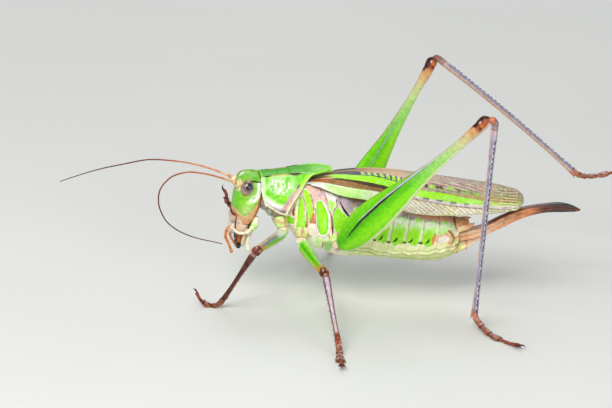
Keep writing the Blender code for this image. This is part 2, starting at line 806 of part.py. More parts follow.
def foot(name, places):
    """Padded joints and a pair of claws; a standing foot is flat underneath, at floor level."""
    standing = any(z == FOOT_RISE for _, _, z in places["foot"])
    ankle = Vector(places["ankle"])
    shin_way = (ankle - Vector(places["knee"])).normalized()
    knots = [Vector(point) for point in places["foot"]]
    bend = (knots[0] - ankle).normalized().angle(shin_way)
    clear = JOINT_GAP + (SHIN_END + 0.1) * math.sin(min(bend, math.pi / 2))
    knots.insert(0, ankle + shin_way * clear)
    steps = 80  # the path is fine, and the rings take their places on it by share
    path = smooth_path(knots, steps + 1)
    points = [path[round(station[0] * steps)] for station in FOOT]
    scale = 1.0 if name.startswith("hindleg") else SMALL_FOOT
    up = Vector((0, 0, 1))
    if name == "foreleg_right":
        up = Vector((-1, 0, 0.2))
    frames = frames_along(points, up)
    rings = []
    for (place, _, across, high), (_, half_width, half_height) in zip(frames, FOOT):
        wide, tall = half_width * scale, half_height * scale
        rings.append(oval(place, across, high, wide, tall, FOOT_SIDES, 2.3))
    if standing:
        for ring in rings:
            for point in ring:
                point.z = max(point.z, 0.0)
    bm = loft(rings)
    _, forward, across, high = frames[-1]
    last = (len(rings) - 2) * FOOT_SIDES  # the faces of the last ring, on its two flanks
    for face, turn in ((bm.faces[last + 7], 1), (bm.faces[last + 3], -1)):
        claw = [
            across * 0.20 * turn + forward * 0.10,
            across * 0.22 * turn + forward * 0.45 - high * 0.10,
        ]
        grow(bm, face, claw, CLAW_TAPER)
    return finish(f"{name}_tarsus", bm, "brown_cuticle")


# --- Assembly ------------------------------------------------------------------------------


def build_head():
    capsule = head()
    eyes = [eye(side) for side in (LEFT, RIGHT)]
    bases = []
    for side in (LEFT, RIGHT):
        bases.append(antenna(side)[0])
        mandible(side)
        palp("maxillary_palp", MAXILLARY_PALP, side, 13)
        palp("labial_palp", LABIAL_PALP, side, 9)
    labrum()
    labium()
    cut_clear(capsule, *eyes)
    for base in bases:
        cut_clear(base, capsule)


def build_trunk():
    pronotum()
    trunk_length("prothorax", PROTHORAX_FRONT_X, PROTHORAX_END_X, PROTHORAX_POWER)
    meso = trunk_length("mesothorax", PROTHORAX_END_X, MESOTHORAX_END_X, THORAX_POWER)
    meta = trunk_length("metathorax", MESOTHORAX_END_X, THORAX_END_X, THORAX_POWER)
    for name, edges in RINGS.items():
        abdomen(name, edges)
    return meso, meta


def build_legs():
    for name, places in LEGS.items():
        kind = name.split("_")[0]
        coxa = hip_piece(name, places)
        trunk = {"foreleg": "prothorax", "midleg": "mesothorax", "hindleg": "metathorax"}[kind]
        cut_clear(coxa, bpy.data.objects[trunk])
        femur = thigh(name, places)
        cut_clear(femur, coxa)
        tibia = shin(name, places)
        cut_clear(tibia, femur)
        foot(name, places)


def centre_on_floor():
    """Moves all parts so that the origin is under the middle of the model's box."""
    bpy.context.view_layer.update()
    graph = bpy.context.evaluated_depsgraph_get()
    shown = [obj for obj in bpy.data.objects if not obj.hide_render]
    corners = []
    for obj in shown:
        mesh = obj.evaluated_get(graph).to_mesh()
        corners += [vert.co.copy() for vert in mesh.vertices]
    low = Vector(min(c[i] for c in corners) for i in range(3))
    high = Vector(max(c[i] for c in corners) for i in range(3))
    shift = Vector((-(low.x + high.x) / 2, -(low.y + high.y) / 2, -low.z))
    for obj in bpy.data.objects:
        obj.location += shift


def main():
    clear_scene()
    build_head()
    build_trunk()
    epiproct()
    subgenital_plate()
    ovipositor_blade("ovipositor_upper", lower=False)
    ovipositor_blade("ovipositor_lower", lower=True)
    for side in (LEFT, RIGHT):
        cercus(side)
        tegmen(side)
        hind_wing(side)
    build_legs()
    centre_on_floor()


main()
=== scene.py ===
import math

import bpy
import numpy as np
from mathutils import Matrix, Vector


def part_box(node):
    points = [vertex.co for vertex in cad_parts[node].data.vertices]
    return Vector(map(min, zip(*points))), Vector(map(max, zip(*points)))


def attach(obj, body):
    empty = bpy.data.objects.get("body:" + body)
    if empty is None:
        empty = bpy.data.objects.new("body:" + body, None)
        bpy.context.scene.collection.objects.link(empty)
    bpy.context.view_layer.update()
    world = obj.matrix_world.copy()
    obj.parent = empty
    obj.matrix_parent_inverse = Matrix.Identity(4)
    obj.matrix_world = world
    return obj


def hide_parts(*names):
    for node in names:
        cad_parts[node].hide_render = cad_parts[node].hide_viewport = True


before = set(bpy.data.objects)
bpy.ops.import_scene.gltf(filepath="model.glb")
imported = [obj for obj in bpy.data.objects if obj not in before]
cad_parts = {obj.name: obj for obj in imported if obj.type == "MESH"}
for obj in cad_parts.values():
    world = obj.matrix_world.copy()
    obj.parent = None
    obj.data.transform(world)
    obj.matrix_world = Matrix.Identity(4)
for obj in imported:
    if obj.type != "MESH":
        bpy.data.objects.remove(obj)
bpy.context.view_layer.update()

# The looks of the long-horned grasshopper: a green shield-backed bush-cricket on a pale floor.
#
# Until a mesh is made, lengths are in millimetres in the insect's own frame: it faces -X, its
# left side is at -Y, the floor is z = 0 and x = 0 lies between the middle legs.

MM = 0.001
LEFT, RIGHT = -1, 1
SIDES = {LEFT: "left", RIGHT: "right"}
NECK_X = -6.35  # where the prothorax starts, which ties the insect's frame to the CAD's

prothorax_low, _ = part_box("prothorax")
head_low, head_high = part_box("head")
ORIGIN = np.array([prothorax_low[0] / MM - NECK_X, (head_low[1] + head_high[1]) / 2 / MM, 0.0])


# --- Curves, noise and distances -----------------------------------------------------------


def curve(stations, at):
    """Values of a smooth curve through stations (place, value, value, ...) at many places."""
    table = np.array(stations, float)
    places, values = table[:, 0], table[:, 1:]
    slopes = np.gradient(values, places, axis=0)
    at = np.clip(np.asarray(at, float), places[0], places[-1])
    i = np.clip(np.searchsorted(places, at) - 1, 0, len(places) - 2)
    span = places[i + 1] - places[i]
    t = ((at - places[i]) / span)[..., None]
    span = span[..., None]
    return (
        (2 * t**3 - 3 * t**2 + 1) * values[i]
        + (t**3 - 2 * t**2 + t) * span * slopes[i]
        + (3 * t**2 - 2 * t**3) * values[i + 1]
        + (t**3 - t**2) * span * slopes[i + 1]
    )


def smooth_line(knots, count):
    """Points on a smooth curve through a few knots; count may be the shares of its length."""
    knots = np.array(knots, float)
    lengths = np.concatenate([[0], np.cumsum(np.linalg.norm(np.diff(knots, axis=0), axis=1))])
    shares = np.linspace(0, 1, count) if np.isscalar(count) else count
    return curve(np.column_stack([lengths, knots]), shares * lengths[-1])


def step(value, soft):
    """0 below zero and 1 above it, with a soft edge of the given width."""
    t = np.clip(value / soft + 0.5, 0, 1)
    return t * t * (3 - 2 * t)


def bell(value, width):
    """A bump: 1 where the value is zero, fading out over about the given width."""
    return np.exp(-((value / width) ** 2))


def blob(a, b, centre, size):
    """A bump on an oval: 1 at its centre, fading out over about its size."""
    return bell(np.hypot((a - centre[0]) / size[0], (b - centre[1]) / size[1]), 1)


def between(values, low, high, soft):
    """1 between two values and 0 outside them, with soft edges."""
    return step(values - low, soft) * step(high - values, soft)


def lines(place, gap, width):
    """1 on evenly spaced lines of a width, 0 between them."""
    return step(width / 2 - abs(place / gap % 1 - 0.5) * gap, width * 0.8)


HASH = (127.1, 311.7, 74.7)  # factors that turn a place in a grid into a phase
SECOND_HASH = (269.5, 183.3)
HASH_SCALE = 43758.5453


def scattered(phase):
    """A fixed value from 0 to 1 for each phase, with no visible order."""
    value = np.sin(phase) * HASH_SCALE
    return value - np.floor(value)


def noise(points, size, seed=0):
    """Smooth random values from -1 to 1 at points (..., 3), with features of about one size."""
    q = points / size + seed * 7.13
    cell = np.floor(q)
    f = q - cell
    f = f * f * (3 - 2 * f)
    total = 0
    for corner in np.ndindex(2, 2, 2):
        place = (cell + corner) @ np.array(HASH)
        weight = np.prod(np.where(np.array(corner) == 1, f, 1 - f), axis=-1)
        total = total + weight * scattered(place + seed)
    return total * 2 - 1


def cells(a, b, size, seed=0):
    """For a net of irregular cells: the distance from each point to its cell's wall, in cells."""
    qa, qb = a / size, b / size
    ia, ib = np.floor(qa), np.floor(qb)
    near = np.full((2, *a.shape), 9.0)
    for da in (-1, 0, 1):
        for db in (-1, 0, 1):
            ca, cb = ia + da, ib + db
            ra = scattered(ca * HASH[0] + cb * HASH[1] + seed)
            rb = scattered(ca * SECOND_HASH[0] + cb * SECOND_HASH[1] + seed)
            pa, pb = ca + 0.15 + 0.7 * ra, cb + 0.15 + 0.7 * rb
            distance = np.hypot(qa - pa, qb - pb)
            near[1] = np.minimum(near[1], np.maximum(near[0], distance))
            near[0] = np.minimum(near[0], distance)
    return near[1] - near[0]


def reach(a, b, line):
    """Distance from each point (a, b) to a line of knots, and its share of the way along."""
    line = np.array(line, float)
    best, share = np.full(a.shape, 1e9), np.zeros(a.shape)
    for i, (p, q) in enumerate(zip(line, line[1:])):
        way = q - p
        t = np.clip(((a - p[0]) * way[0] + (b - p[1]) * way[1]) / (way @ way), 0, 1)
        distance = np.hypot(a - p[0] - t * way[0], b - p[1] - t * way[1])
        closer = distance < best
        best, share = np.where(closer, distance, best), np.where(closer, i + t, share)
    return best, share / (len(line) - 1)


def inside(a, b, outline):
    """Signed distance to a closed outline: above zero inside it."""
    outline = np.array(outline, float)
    closed = np.vstack([outline, outline[:1]])
    distance, _ = reach(a, b, closed)
    odd = np.zeros(a.shape, bool)
    for (pa, pb), (qa, qb) in zip(closed, closed[1:]):
        if pb != qb:
            odd ^= ((pb > b) != (qb > b)) & (a < pa + (b - pb) * (qa - pa) / (qb - pb))
    return np.where(odd, distance, -distance)


# --- Surfaces that are painted and pressed -------------------------------------------------


class Surface:
    """A grid of points with how much of each tone lies at every point, and relief to press.

    wrap says that the columns close into a ring. a and b are the drawing plane, which is the
    side view unless a part sets its own.
    """

    def __init__(self, points, wrap=False, turn=False, caps=""):
        self.points = np.asarray(points, float)
        self.wrap, self.turn, self.caps = wrap, turn, caps
        self.tones = {}
        self.lift = np.zeros(self.points.shape[:2])
        self.a, self.b = self.points[..., 0], self.points[..., 2]
        self.wobble = noise(self.points, 0.35, 3) * 0.04

    def lay(self, tone, mask, lift=0.0):
        """Covers what is there with a tone, and raises it by the lift."""
        mask = np.clip(mask, 0, 1)
        for other in self.tones:
            self.tones[other] = self.tones[other] * (1 - mask)
        self.tones[tone] = self.tones.get(tone, 0) + mask
        self.lift = self.lift + lift * mask

    def stroke(self, tone, line, width, soft=0.12, lift=0.0, only=1.0):
        """Lays a tone along a line; the width is one value, or a list spaced along it."""
        distance, share = reach(self.a, self.b, smooth_line(line, 4 * len(line)))
        if not np.isscalar(width):
            width = np.interp(share, np.linspace(0, 1, len(width)), width)
        self.lay(tone, step(width / 2 - distance + self.wobble, soft) * only, lift)

    def patch(self, tone, outline, soft=0.15, lift=0.0, only=1.0, strength=1.0):
        """Lays a tone inside a closed outline."""
        distance = inside(self.a, self.b, outline) + self.wobble
        self.lay(tone, step(distance, soft) * only * strength, lift)

    def spot(self, tone, centre, size, soft=0.12, lift=0.0, only=1.0, strength=1.0):
        """Lays a tone on an oval."""
        wide, high = size
        distance = 1 - np.hypot((self.a - centre[0]) / wide, (self.b - centre[1]) / high)
        near = step(distance * min(wide, high) + self.wobble, soft)
        self.lay(tone, near * only * strength, lift)

    def normals(self):
        """Outward directions at the points."""
        p = self.points
        along = np.gradient(p, axis=0)
        if self.wrap:
            across = np.roll(p, -1, axis=1) - np.roll(p, 1, axis=1)
        else:
            across = np.gradient(p, axis=1)
        out = np.cross(along, across)
        out /= np.maximum(np.linalg.norm(out, axis=-1, keepdims=True), 1e-9)
        return -out if self.turn else out

    def pressed(self):
        """The points with their relief."""
        return self.points + self.normals() * self.lift[..., None]


def join(surfaces):
    """Vertices, faces and tones of several surfaces as one mesh; a cap closes an end."""
    verts, faces = [], []
    names = sorted({name for surface in surfaces for name in surface.tones})
    tones = {name: [] for name in names}
    base = 0
    for surface in surfaces:
        points = surface.pressed()
        rows, columns = points.shape[:2]
        verts.append(points.reshape(-1, 3))
        layers = {
            name: np.broadcast_to(surface.tones.get(name, 0.0), (rows, columns)) for name in names
        }
        for name in names:
            tones[name].append(layers[name].reshape(-1))
        index = base + np.arange(rows * columns).reshape(rows, columns)
        if surface.wrap:
            index = np.hstack([index, index[:, :1]])
        quads = np.stack([index[:-1, :-1], index[1:, :-1], index[1:, 1:], index[:-1, 1:]], -1)
        quads = quads.reshape(-1, 4)
        faces += (quads[:, ::-1] if surface.turn else quads).tolist()
        base += rows * columns
        for end, ring in (("s", index[0]), ("e", index[-1])):
            if end not in surface.caps:
                continue
            row = 0 if end == "s" else -1
            verts.append(points[row].mean(axis=0)[None])
            for name in names:
                tones[name].append([layers[name][row].mean()])
            flip = (end == "s") == surface.turn
            for i, j in zip(ring, ring[1:]):
                faces.append([int(i), int(j), base] if flip else [int(j), int(i), base])
            base += 1
    return np.vstack(verts), faces, {name: np.concatenate(v) for name, v in tones.items()}


def piece(name, surfaces, finish, replaces=None, thickness=0.0):
    """Makes one visible piece from painted surfaces and ties it to the frame.

    It replaces the CAD node of its own name unless it is given others.
    """
    verts, faces, tones = join(surfaces)
    mesh = bpy.data.meshes.new(name)
    mesh.from_pydata(((verts + ORIGIN) * MM).tolist(), [], faces)
    for tone, values in tones.items():
        layer = mesh.attributes.new(tone, "FLOAT", "POINT")
        layer.data.foreach_set("value", np.ascontiguousarray(values, dtype=np.float32))
    mesh.shade_smooth()
    mesh.materials.append(painted(name, finish, sorted(tones)))
    obj = bpy.data.objects.new(name, mesh)
    bpy.context.scene.collection.objects.link(obj)
    if thickness:
        shell = obj.modifiers.new("shell", "SOLIDIFY")
        shell.thickness = thickness * MM
        shell.offset = -1
    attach(obj, "root")
    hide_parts(*(replaces or [name]))


# --- Materials -----------------------------------------------------------------------------


def linear(code):
    """A colour written as #rrggbb, as linear light."""
    parts = [int(code[i : i + 2], 16) / 255 for i in (1, 3, 5)]
    return [c / 12.92 if c <= 0.04045 else ((c + 0.055) / 1.055) ** 2.4 for c in parts]


TONES = {  # two shades between which a fine mottling moves
    "deep": ("#2c8c02", "#3fa608"),
    "leaf": ("#3fa604", "#58bc0e"),
    "green": ("#5ac002", "#76d40c"),
    "lime": ("#8ee012", "#a8ee2c"),
    "mint": ("#b4e888", "#d6f5b6"),
    "moss": ("#74ac30", "#94c84c"),
    "olive": ("#718f48", "#8fae5e"),
    "butter": ("#d9de94", "#f0f2bc"),
    "cream": ("#ded6a0", "#f2edc6"),
    "white": ("#dedbd8", "#f8f5f2"),
    "blush": ("#d0a596", "#e4c4b6"),
    "lilac": ("#a996ae", "#cbbbcb"),
    "mist": ("#85839c", "#a9a6bb"),
    "tan": ("#bc8a5a", "#d6ae7e"),
    "peach": ("#d98c5c", "#f0b287"),
    "ochre": ("#7d5834", "#a07a4a"),
    "brown": ("#553021", "#764b34"),
    "orange": ("#c0601e", "#e08a42"),
    "rust": ("#6e2a14", "#943f24"),
    "maroon": ("#2a0b07", "#4a180e"),
    "grey": ("#77747c", "#a19da6"),
    "slate": ("#3b4252", "#5d6478"),
    "black": ("#0c090b", "#1f181b"),
}


def link(tree, source, target):
    """Joins two sockets."""
    tree.links.new(source, target)


def node(tree, kind, **values):
    """A new node with some of its properties set."""
    made = tree.nodes.new(kind)
    for key, value in values.items():
        setattr(made, key, value)
    return made


def noise_texture(tree, place, size, detail, roughness=0.55):
    """A noise texture with features of a size in millimetres."""
    made = node(tree, "ShaderNodeTexNoise")
    link(tree, place, made.inputs["Vector"])
    made.inputs["Scale"].default_value = 1 / (size * MM)
    made.inputs["Detail"].default_value = detail
    made.inputs["Roughness"].default_value = roughness
    return made.outputs["Fac"]


def spread_out(tree, value, low, high, to_low=0.0, to_high=1.0):
    """A value moved from one range to another."""
    made = node(tree, "ShaderNodeMapRange")
    link(tree, value, made.inputs["Value"])
    for key, number in zip(("From Min", "From Max", "To Min", "To Max"),
                           (low, high, to_low, to_high)):
        made.inputs[key].default_value = number
    return made.outputs["Result"]


def two_shades(tree, tone, mottling):
    """A tone's dark and light shade, mixed by the mottling."""
    made = node(tree, "ShaderNodeMix", data_type="RGBA")
    link(tree, mottling, made.inputs["Factor"])
    dark, light = TONES[tone]
    made.inputs["A"].default_value = (*linear(dark), 1)
    made.inputs["B"].default_value = (*linear(light), 1)
    return made.outputs["Result"]


def weighted(tree, colour, weight, more):
    """A colour times a weight, added to another colour where there is one."""
    add = node(tree, "ShaderNodeVectorMath", operation="MULTIPLY_ADD")
    link(tree, colour, add.inputs[0])
    link(tree, weight, add.inputs[1])
    if more:
        link(tree, more, add.inputs[2])
    return add.outputs["Vector"]


FINISHES = {  # ground tone, roughness, coat, size of the grain, depth of the grain
    "green_skin": ("green", 0.40, 0.04, 0.12, 0.006),
    "head_skin": ("moss", 0.38, 0.06, 0.12, 0.006),
    "pale_skin": ("blush", 0.40, 0.12, 0.10, 0.008),
    "cream_skin": ("cream", 0.38, 0.15, 0.10, 0.007),
    "thigh": ("green", 0.38, 0.05, 0.14, 0.005),
    "shin": ("mist", 0.38, 0.15, 0.09, 0.006),
    "dark_shin": ("maroon", 0.34, 0.2, 0.09, 0.006),
    "foot": ("rust", 0.40, 0.1, 0.08, 0.008),
    "wing": ("tan", 0.44, 0.03, 0.10, 0.005),
    "feeler": ("rust", 0.42, 0.1, 0.06, 0.004),
    "eye": ("brown", 0.12, 0.6, 0.05, 0.002),
    "blade": ("orange", 0.22, 0.45, 0.14, 0.003),
    "mouth": ("cream", 0.36, 0.15, 0.09, 0.007),
}


def painted(name, finish, tones):
    """A cuticle: a mottled ground tone under the tones painted on the piece, with fine grain."""
    ground, roughness, coat, grain, depth = FINISHES[finish]
    made = bpy.data.materials.new(name)
    made.use_nodes = True
    tree = made.node_tree
    shader = tree.nodes["Principled BSDF"]
    place = node(tree, "ShaderNodeTexCoord").outputs["Object"]
    mottling = spread_out(tree, noise_texture(tree, place, 0.55, 4, 0.7), 0.36, 0.64)
    weights = [node(tree, "ShaderNodeAttribute", attribute_name=tone) for tone in tones]
    total = covered = None
    for tone, weight in zip(tones, weights):
        total = weighted(tree, two_shades(tree, tone, mottling), weight.outputs["Fac"], total)
        if covered is None:
            covered = weight.outputs["Fac"]
        else:
            more = node(tree, "ShaderNodeMath", operation="ADD")
            link(tree, covered, more.inputs[0])
            link(tree, weight.outputs["Fac"], more.inputs[1])
            covered = more.outputs["Value"]
    colour = two_shades(tree, ground, mottling)
    if total:
        bare = node(tree, "ShaderNodeMath", operation="SUBTRACT", use_clamp=True)
        bare.inputs[0].default_value = 1
        link(tree, covered, bare.inputs[1])
        colour = weighted(tree, colour, bare.outputs["Value"], total)
    # Painted shade: the colour darkens a little in the pits of the grain, where the bump is lowest.
    pits = noise_texture(tree, place, grain, 2, 0.5)
    shade = node(tree, "ShaderNodeVectorMath", operation="SCALE")
    link(tree, colour, shade.inputs[0])
    link(tree, spread_out(tree, pits, 0.3, 0.6, 0.92, 1.03), shade.inputs["Scale"])
    link(tree, shade.outputs["Vector"], shader.inputs["Base Color"])
    uneven = spread_out(tree, mottling, 0, 1, roughness - 0.07, roughness + 0.07)
    link(tree, uneven, shader.inputs["Roughness"])
    bump = node(tree, "ShaderNodeBump")
    bump.inputs["Strength"].default_value = 0.5
    bump.inputs["Distance"].default_value = depth * MM
    link(tree, pits, bump.inputs["Height"])
    link(tree, bump.outputs["Normal"], shader.inputs["Normal"])
    shader.inputs["Coat Weight"].default_value = coat
    shader.inputs["Coat Roughness"].default_value = 0.3
    # Only the eyes and the egg-layer's blades are glossy.
    shader.inputs["Specular IOR Level"].default_value = 0.22 if coat < 0.4 else 0.5
    return made


# --- Camera, light and floor ---------------------------------------------------------------

CAMERA_AZIMUTH = math.radians(-10)
CAMERA_ELEVATION = math.radians(16.5)
CAMERA_ROLL = math.radians(4.5)
CAMERA_DISTANCE = 380.0
CAMERA_TARGET = np.array([0.0, 0.0, 13.2])
CAMERA_LENS = 166.8
SENSOR_WIDTH = 36.0
CLIP_START, CLIP_END = 0.01, 20  # metres
SKY_COLOUR, SKY_STRENGTH = (0.93, 0.96, 1.0, 1), 0.30
FLOOR_SIZE = 4  # metres
FLOOR_SHADES = ((0.70, 0.71, 0.69, 1), (0.76, 0.77, 0.75, 1))
LAMPS = (  # name, azimuth, elevation, distance, size, power, colour
    ("key", -30, 40, 420, 240, 1.45, (1, 0.98, 0.95)),
    ("fill", 25, 14, 500, 240, 0.60, (1, 0.99, 0.96)),
    ("rim", 170, 45, 450, 250, 0.60, (1, 1, 1)),
    ("spark", -24, 36, 420, 50, 0.20, (1, 1, 1)),  # small, for crisp glints on eyes and claws
)


def turned(azimuth, elevation, roll):
    """Right, up and back axes of something that looks at the insect."""
    right = np.array([math.cos(azimuth), math.sin(azimuth), 0])
    level = math.cos(elevation)
    back = np.array([math.sin(azimuth) * level, -math.cos(azimuth) * level, math.sin(elevation)])
    up = np.cross(back, right)
    return (
        right * math.cos(roll) + up * math.sin(roll),
        up * math.cos(roll) - right * math.sin(roll),
        back,
    )


def aim(obj, azimuth, elevation, distance, target, roll=0.0):
    """Places a camera or a lamp so that it looks at a target."""
    axes = turned(azimuth, elevation, roll)
    place = (target + ORIGIN + distance * axes[2]) * MM
    matrix = Matrix(np.array(axes).T.tolist()).to_4x4()
    matrix.translation = Vector(place)
    obj.matrix_world = matrix


def camera():
    """The camera, at the photo's viewing angle."""
    data = bpy.data.cameras.new("camera")
    data.lens = CAMERA_LENS
    data.sensor_width = SENSOR_WIDTH
    data.clip_start, data.clip_end = CLIP_START, CLIP_END
    obj = bpy.data.objects.new("camera", data)
    bpy.context.scene.collection.objects.link(obj)
    aim(obj, CAMERA_AZIMUTH, CAMERA_ELEVATION, CAMERA_DISTANCE, CAMERA_TARGET, CAMERA_ROLL)
    bpy.context.scene.camera = obj


def lamp(name, azimuth, elevation, distance, size, power, colour):
    """A square soft light."""
    data = bpy.data.lights.new(name, "AREA")
    data.size = size * MM
    data.energy = power
    data.color = colour
    obj = bpy.data.objects.new(name, data)
    bpy.context.scene.collection.objects.link(obj)
    aim(obj, math.radians(azimuth), math.radians(elevation), distance, CAMERA_TARGET)


def studio():
    """Soft light around a plain pale floor."""
    scene = bpy.context.scene
    scene.view_settings.view_transform = "Standard"
    world = bpy.data.worlds.new("studio")
    world.use_nodes = True
    sky = world.node_tree.nodes["Background"]
    sky.inputs["Color"].default_value = SKY_COLOUR
    sky.inputs["Strength"].default_value = SKY_STRENGTH
    scene.world = world
    for row in LAMPS:
        lamp(*row)
    bpy.ops.mesh.primitive_grid_add(size=FLOOR_SIZE, x_subdivisions=2, y_subdivisions=2)
    floor = bpy.context.object
    floor.name = "floor"
    made = bpy.data.materials.new("floor")
    made.use_nodes = True
    tree = made.node_tree
    shader = tree.nodes["Principled BSDF"]
    place = node(tree, "ShaderNodeTexCoord").outputs["Object"]
    mix = node(tree, "ShaderNodeMix", data_type="RGBA")
    link(tree, noise_texture(tree, place, 60, 2), mix.inputs["Factor"])
    mix.inputs["A"].default_value, mix.inputs["B"].default_value = FLOOR_SHADES
    link(tree, mix.outputs["Result"], shader.inputs["Base Color"])
    shader.inputs["Roughness"].default_value = 0.9
    floor.data.materials.append(made)


# --- Shapes --------------------------------------------------------------------------------

X_AXIS, Y_AXIS, Z_AXIS = np.eye(3)[:, None]  # one row each, for all the rings of a part


def ovals(centres, across, up, half_across, half_up, count, power):
    """Rings of points around centres; a higher power gives flatter sides. Angle 0 is up."""
    angle = np.linspace(0, 2 * np.pi, count, endpoint=False)
    s, c = np.sin(angle), np.cos(angle)
    s, c = np.sign(s) * abs(s) ** (2 / power), np.sign(c) * abs(c) ** (2 / power)
    wide = np.asarray(half_across)[..., None] * s
    high = np.asarray(half_up)[..., None] * c
    return centres[:, None] + across[:, None] * wide[..., None] + up[:, None] * high[..., None]


def frames_along(points, first_up):
    """Forward, across and up at each point of a path, turning as little as possible."""
    forward = np.gradient(points, axis=0)
    forward /= np.linalg.norm(forward, axis=1, keepdims=True)
    ups, up = [], np.array(first_up, float)
    for way in forward:
        up = up - way * (up @ way)
        up /= np.linalg.norm(up)
        ups.append(up)
    ups = np.array(ups)
    return forward, np.cross(forward, ups), ups


def domed(share, length, start, end):
    """A factor on a limb's radius that rounds its ends off over start and end millimetres."""
    factor = np.ones(share.shape)
    for reach_in, distance in ((start, share * length), (end, (1 - share) * length)):
        if reach_in:
            t = np.clip(distance / reach_in, 0, 1)
            factor = factor * np.sqrt(np.clip(1 - (1 - t) ** 2, 0.0004, 1))
    return factor


def crowded(count):
    """Shares from 0 to 1 that lie closer together near both ends."""
    t = np.linspace(0, 1, count)
    return t - 0.92 * np.sin(2 * np.pi * t) / (2 * np.pi)


def pipe(knots, radius, count, sides, up=(0, 0, 1), caps="se", flatten=1.0, rounded=(0, 0)):
    """A tube along knots. The radius is a list of values spaced evenly, or one for each ring."""
    share = crowded(count) if any(rounded) else np.linspace(0, 1, count)
    points = smooth_line(knots, share)
    spaced = np.linspace(0, 1, len(radius))
    r = np.interp(share, spaced, radius) if len(radius) != count else np.asarray(radius)
    length = np.linalg.norm(np.diff(points, axis=0), axis=1).sum()
    r = r * domed(share, length, *rounded)
    _, across, high = frames_along(points, up)
    surface = Surface(ovals(points, across, high, r, r * flatten, sides, 2.0), True, False, caps)
    surface.share = np.broadcast_to(share[:, None], (count, sides))
    surface.angle = np.broadcast_to(np.linspace(0, 360, sides, endpoint=False), (count, sides))
    return surface


def barrel(stations, start, end, rows, count, power=2.0):
    """A part that lies along x, from stations (x, bottom, top, half width)."""
    places = np.linspace(start, end, rows)
    bottom, top, half_width = curve(stations, places).T
    centres = np.column_stack([places, 0 * places, (bottom + top) / 2])
    points = ovals(centres, Y_AXIS, Z_AXIS, half_width, (top - bottom) / 2, count, power)
    return Surface(points, True, True, "se")


def spine(root, way, length, radius, tone, start):
    """A thin pointed spine, dark from a share of its length onwards."""
    root, way = np.array(root, float), np.array(way, float)
    way /= np.linalg.norm(way)
    knots = [root - way * radius, root + way * length * 0.5, root + way * length]
    side = (0, 0, 1) if abs(way[2]) < 0.9 else (1, 0, 0)
    made = pipe(knots, [radius, radius * 0.75, radius * 0.12], 5, 6, side, "e")
    made.lay(tone, step(made.share - start, 0.5))
    return made


# --- Head ----------------------------------------------------------------------------------

HEAD = [  # z, front, back, half width
    (10.62, -8.90, -8.15, 2.05),
    (10.80, -9.20, -7.85, 2.32),
    (11.20, -9.55, -7.45, 2.52),
    (11.70, -9.85, -7.10, 2.64),
    (12.20, -10.00, -6.80, 2.74),
    (13.00, -10.05, -6.52, 2.88),
    (13.80, -10.00, -6.40, 2.98),
    (15.10, -9.80, -6.34, 2.98),
    (16.00, -9.58, -6.34, 2.84),
]
CROWN_X = -7.95  # where the head's outline closes at its top
CROWN_Z = 17.56
CHEEK_EDGE = [  # the seam below the cheek
    (-9.98, 11.95), (-9.60, 11.60), (-9.30, 11.30), (-8.99, 10.92), (-8.50, 10.72),
    (-7.95, 10.90), (-7.45, 11.20), (-7.05, 11.80),
]
EYE_CENTRE = np.array([-8.45, 2.42, 15.88])
EYE_RADII = np.array([0.92, 0.80, 1.06])
EYE_LEAN = math.radians(18)  # the top of the eye leans back
SOCKET = np.array([-9.42, 1.10, 15.95])  # the left-hand places are these with y turned round


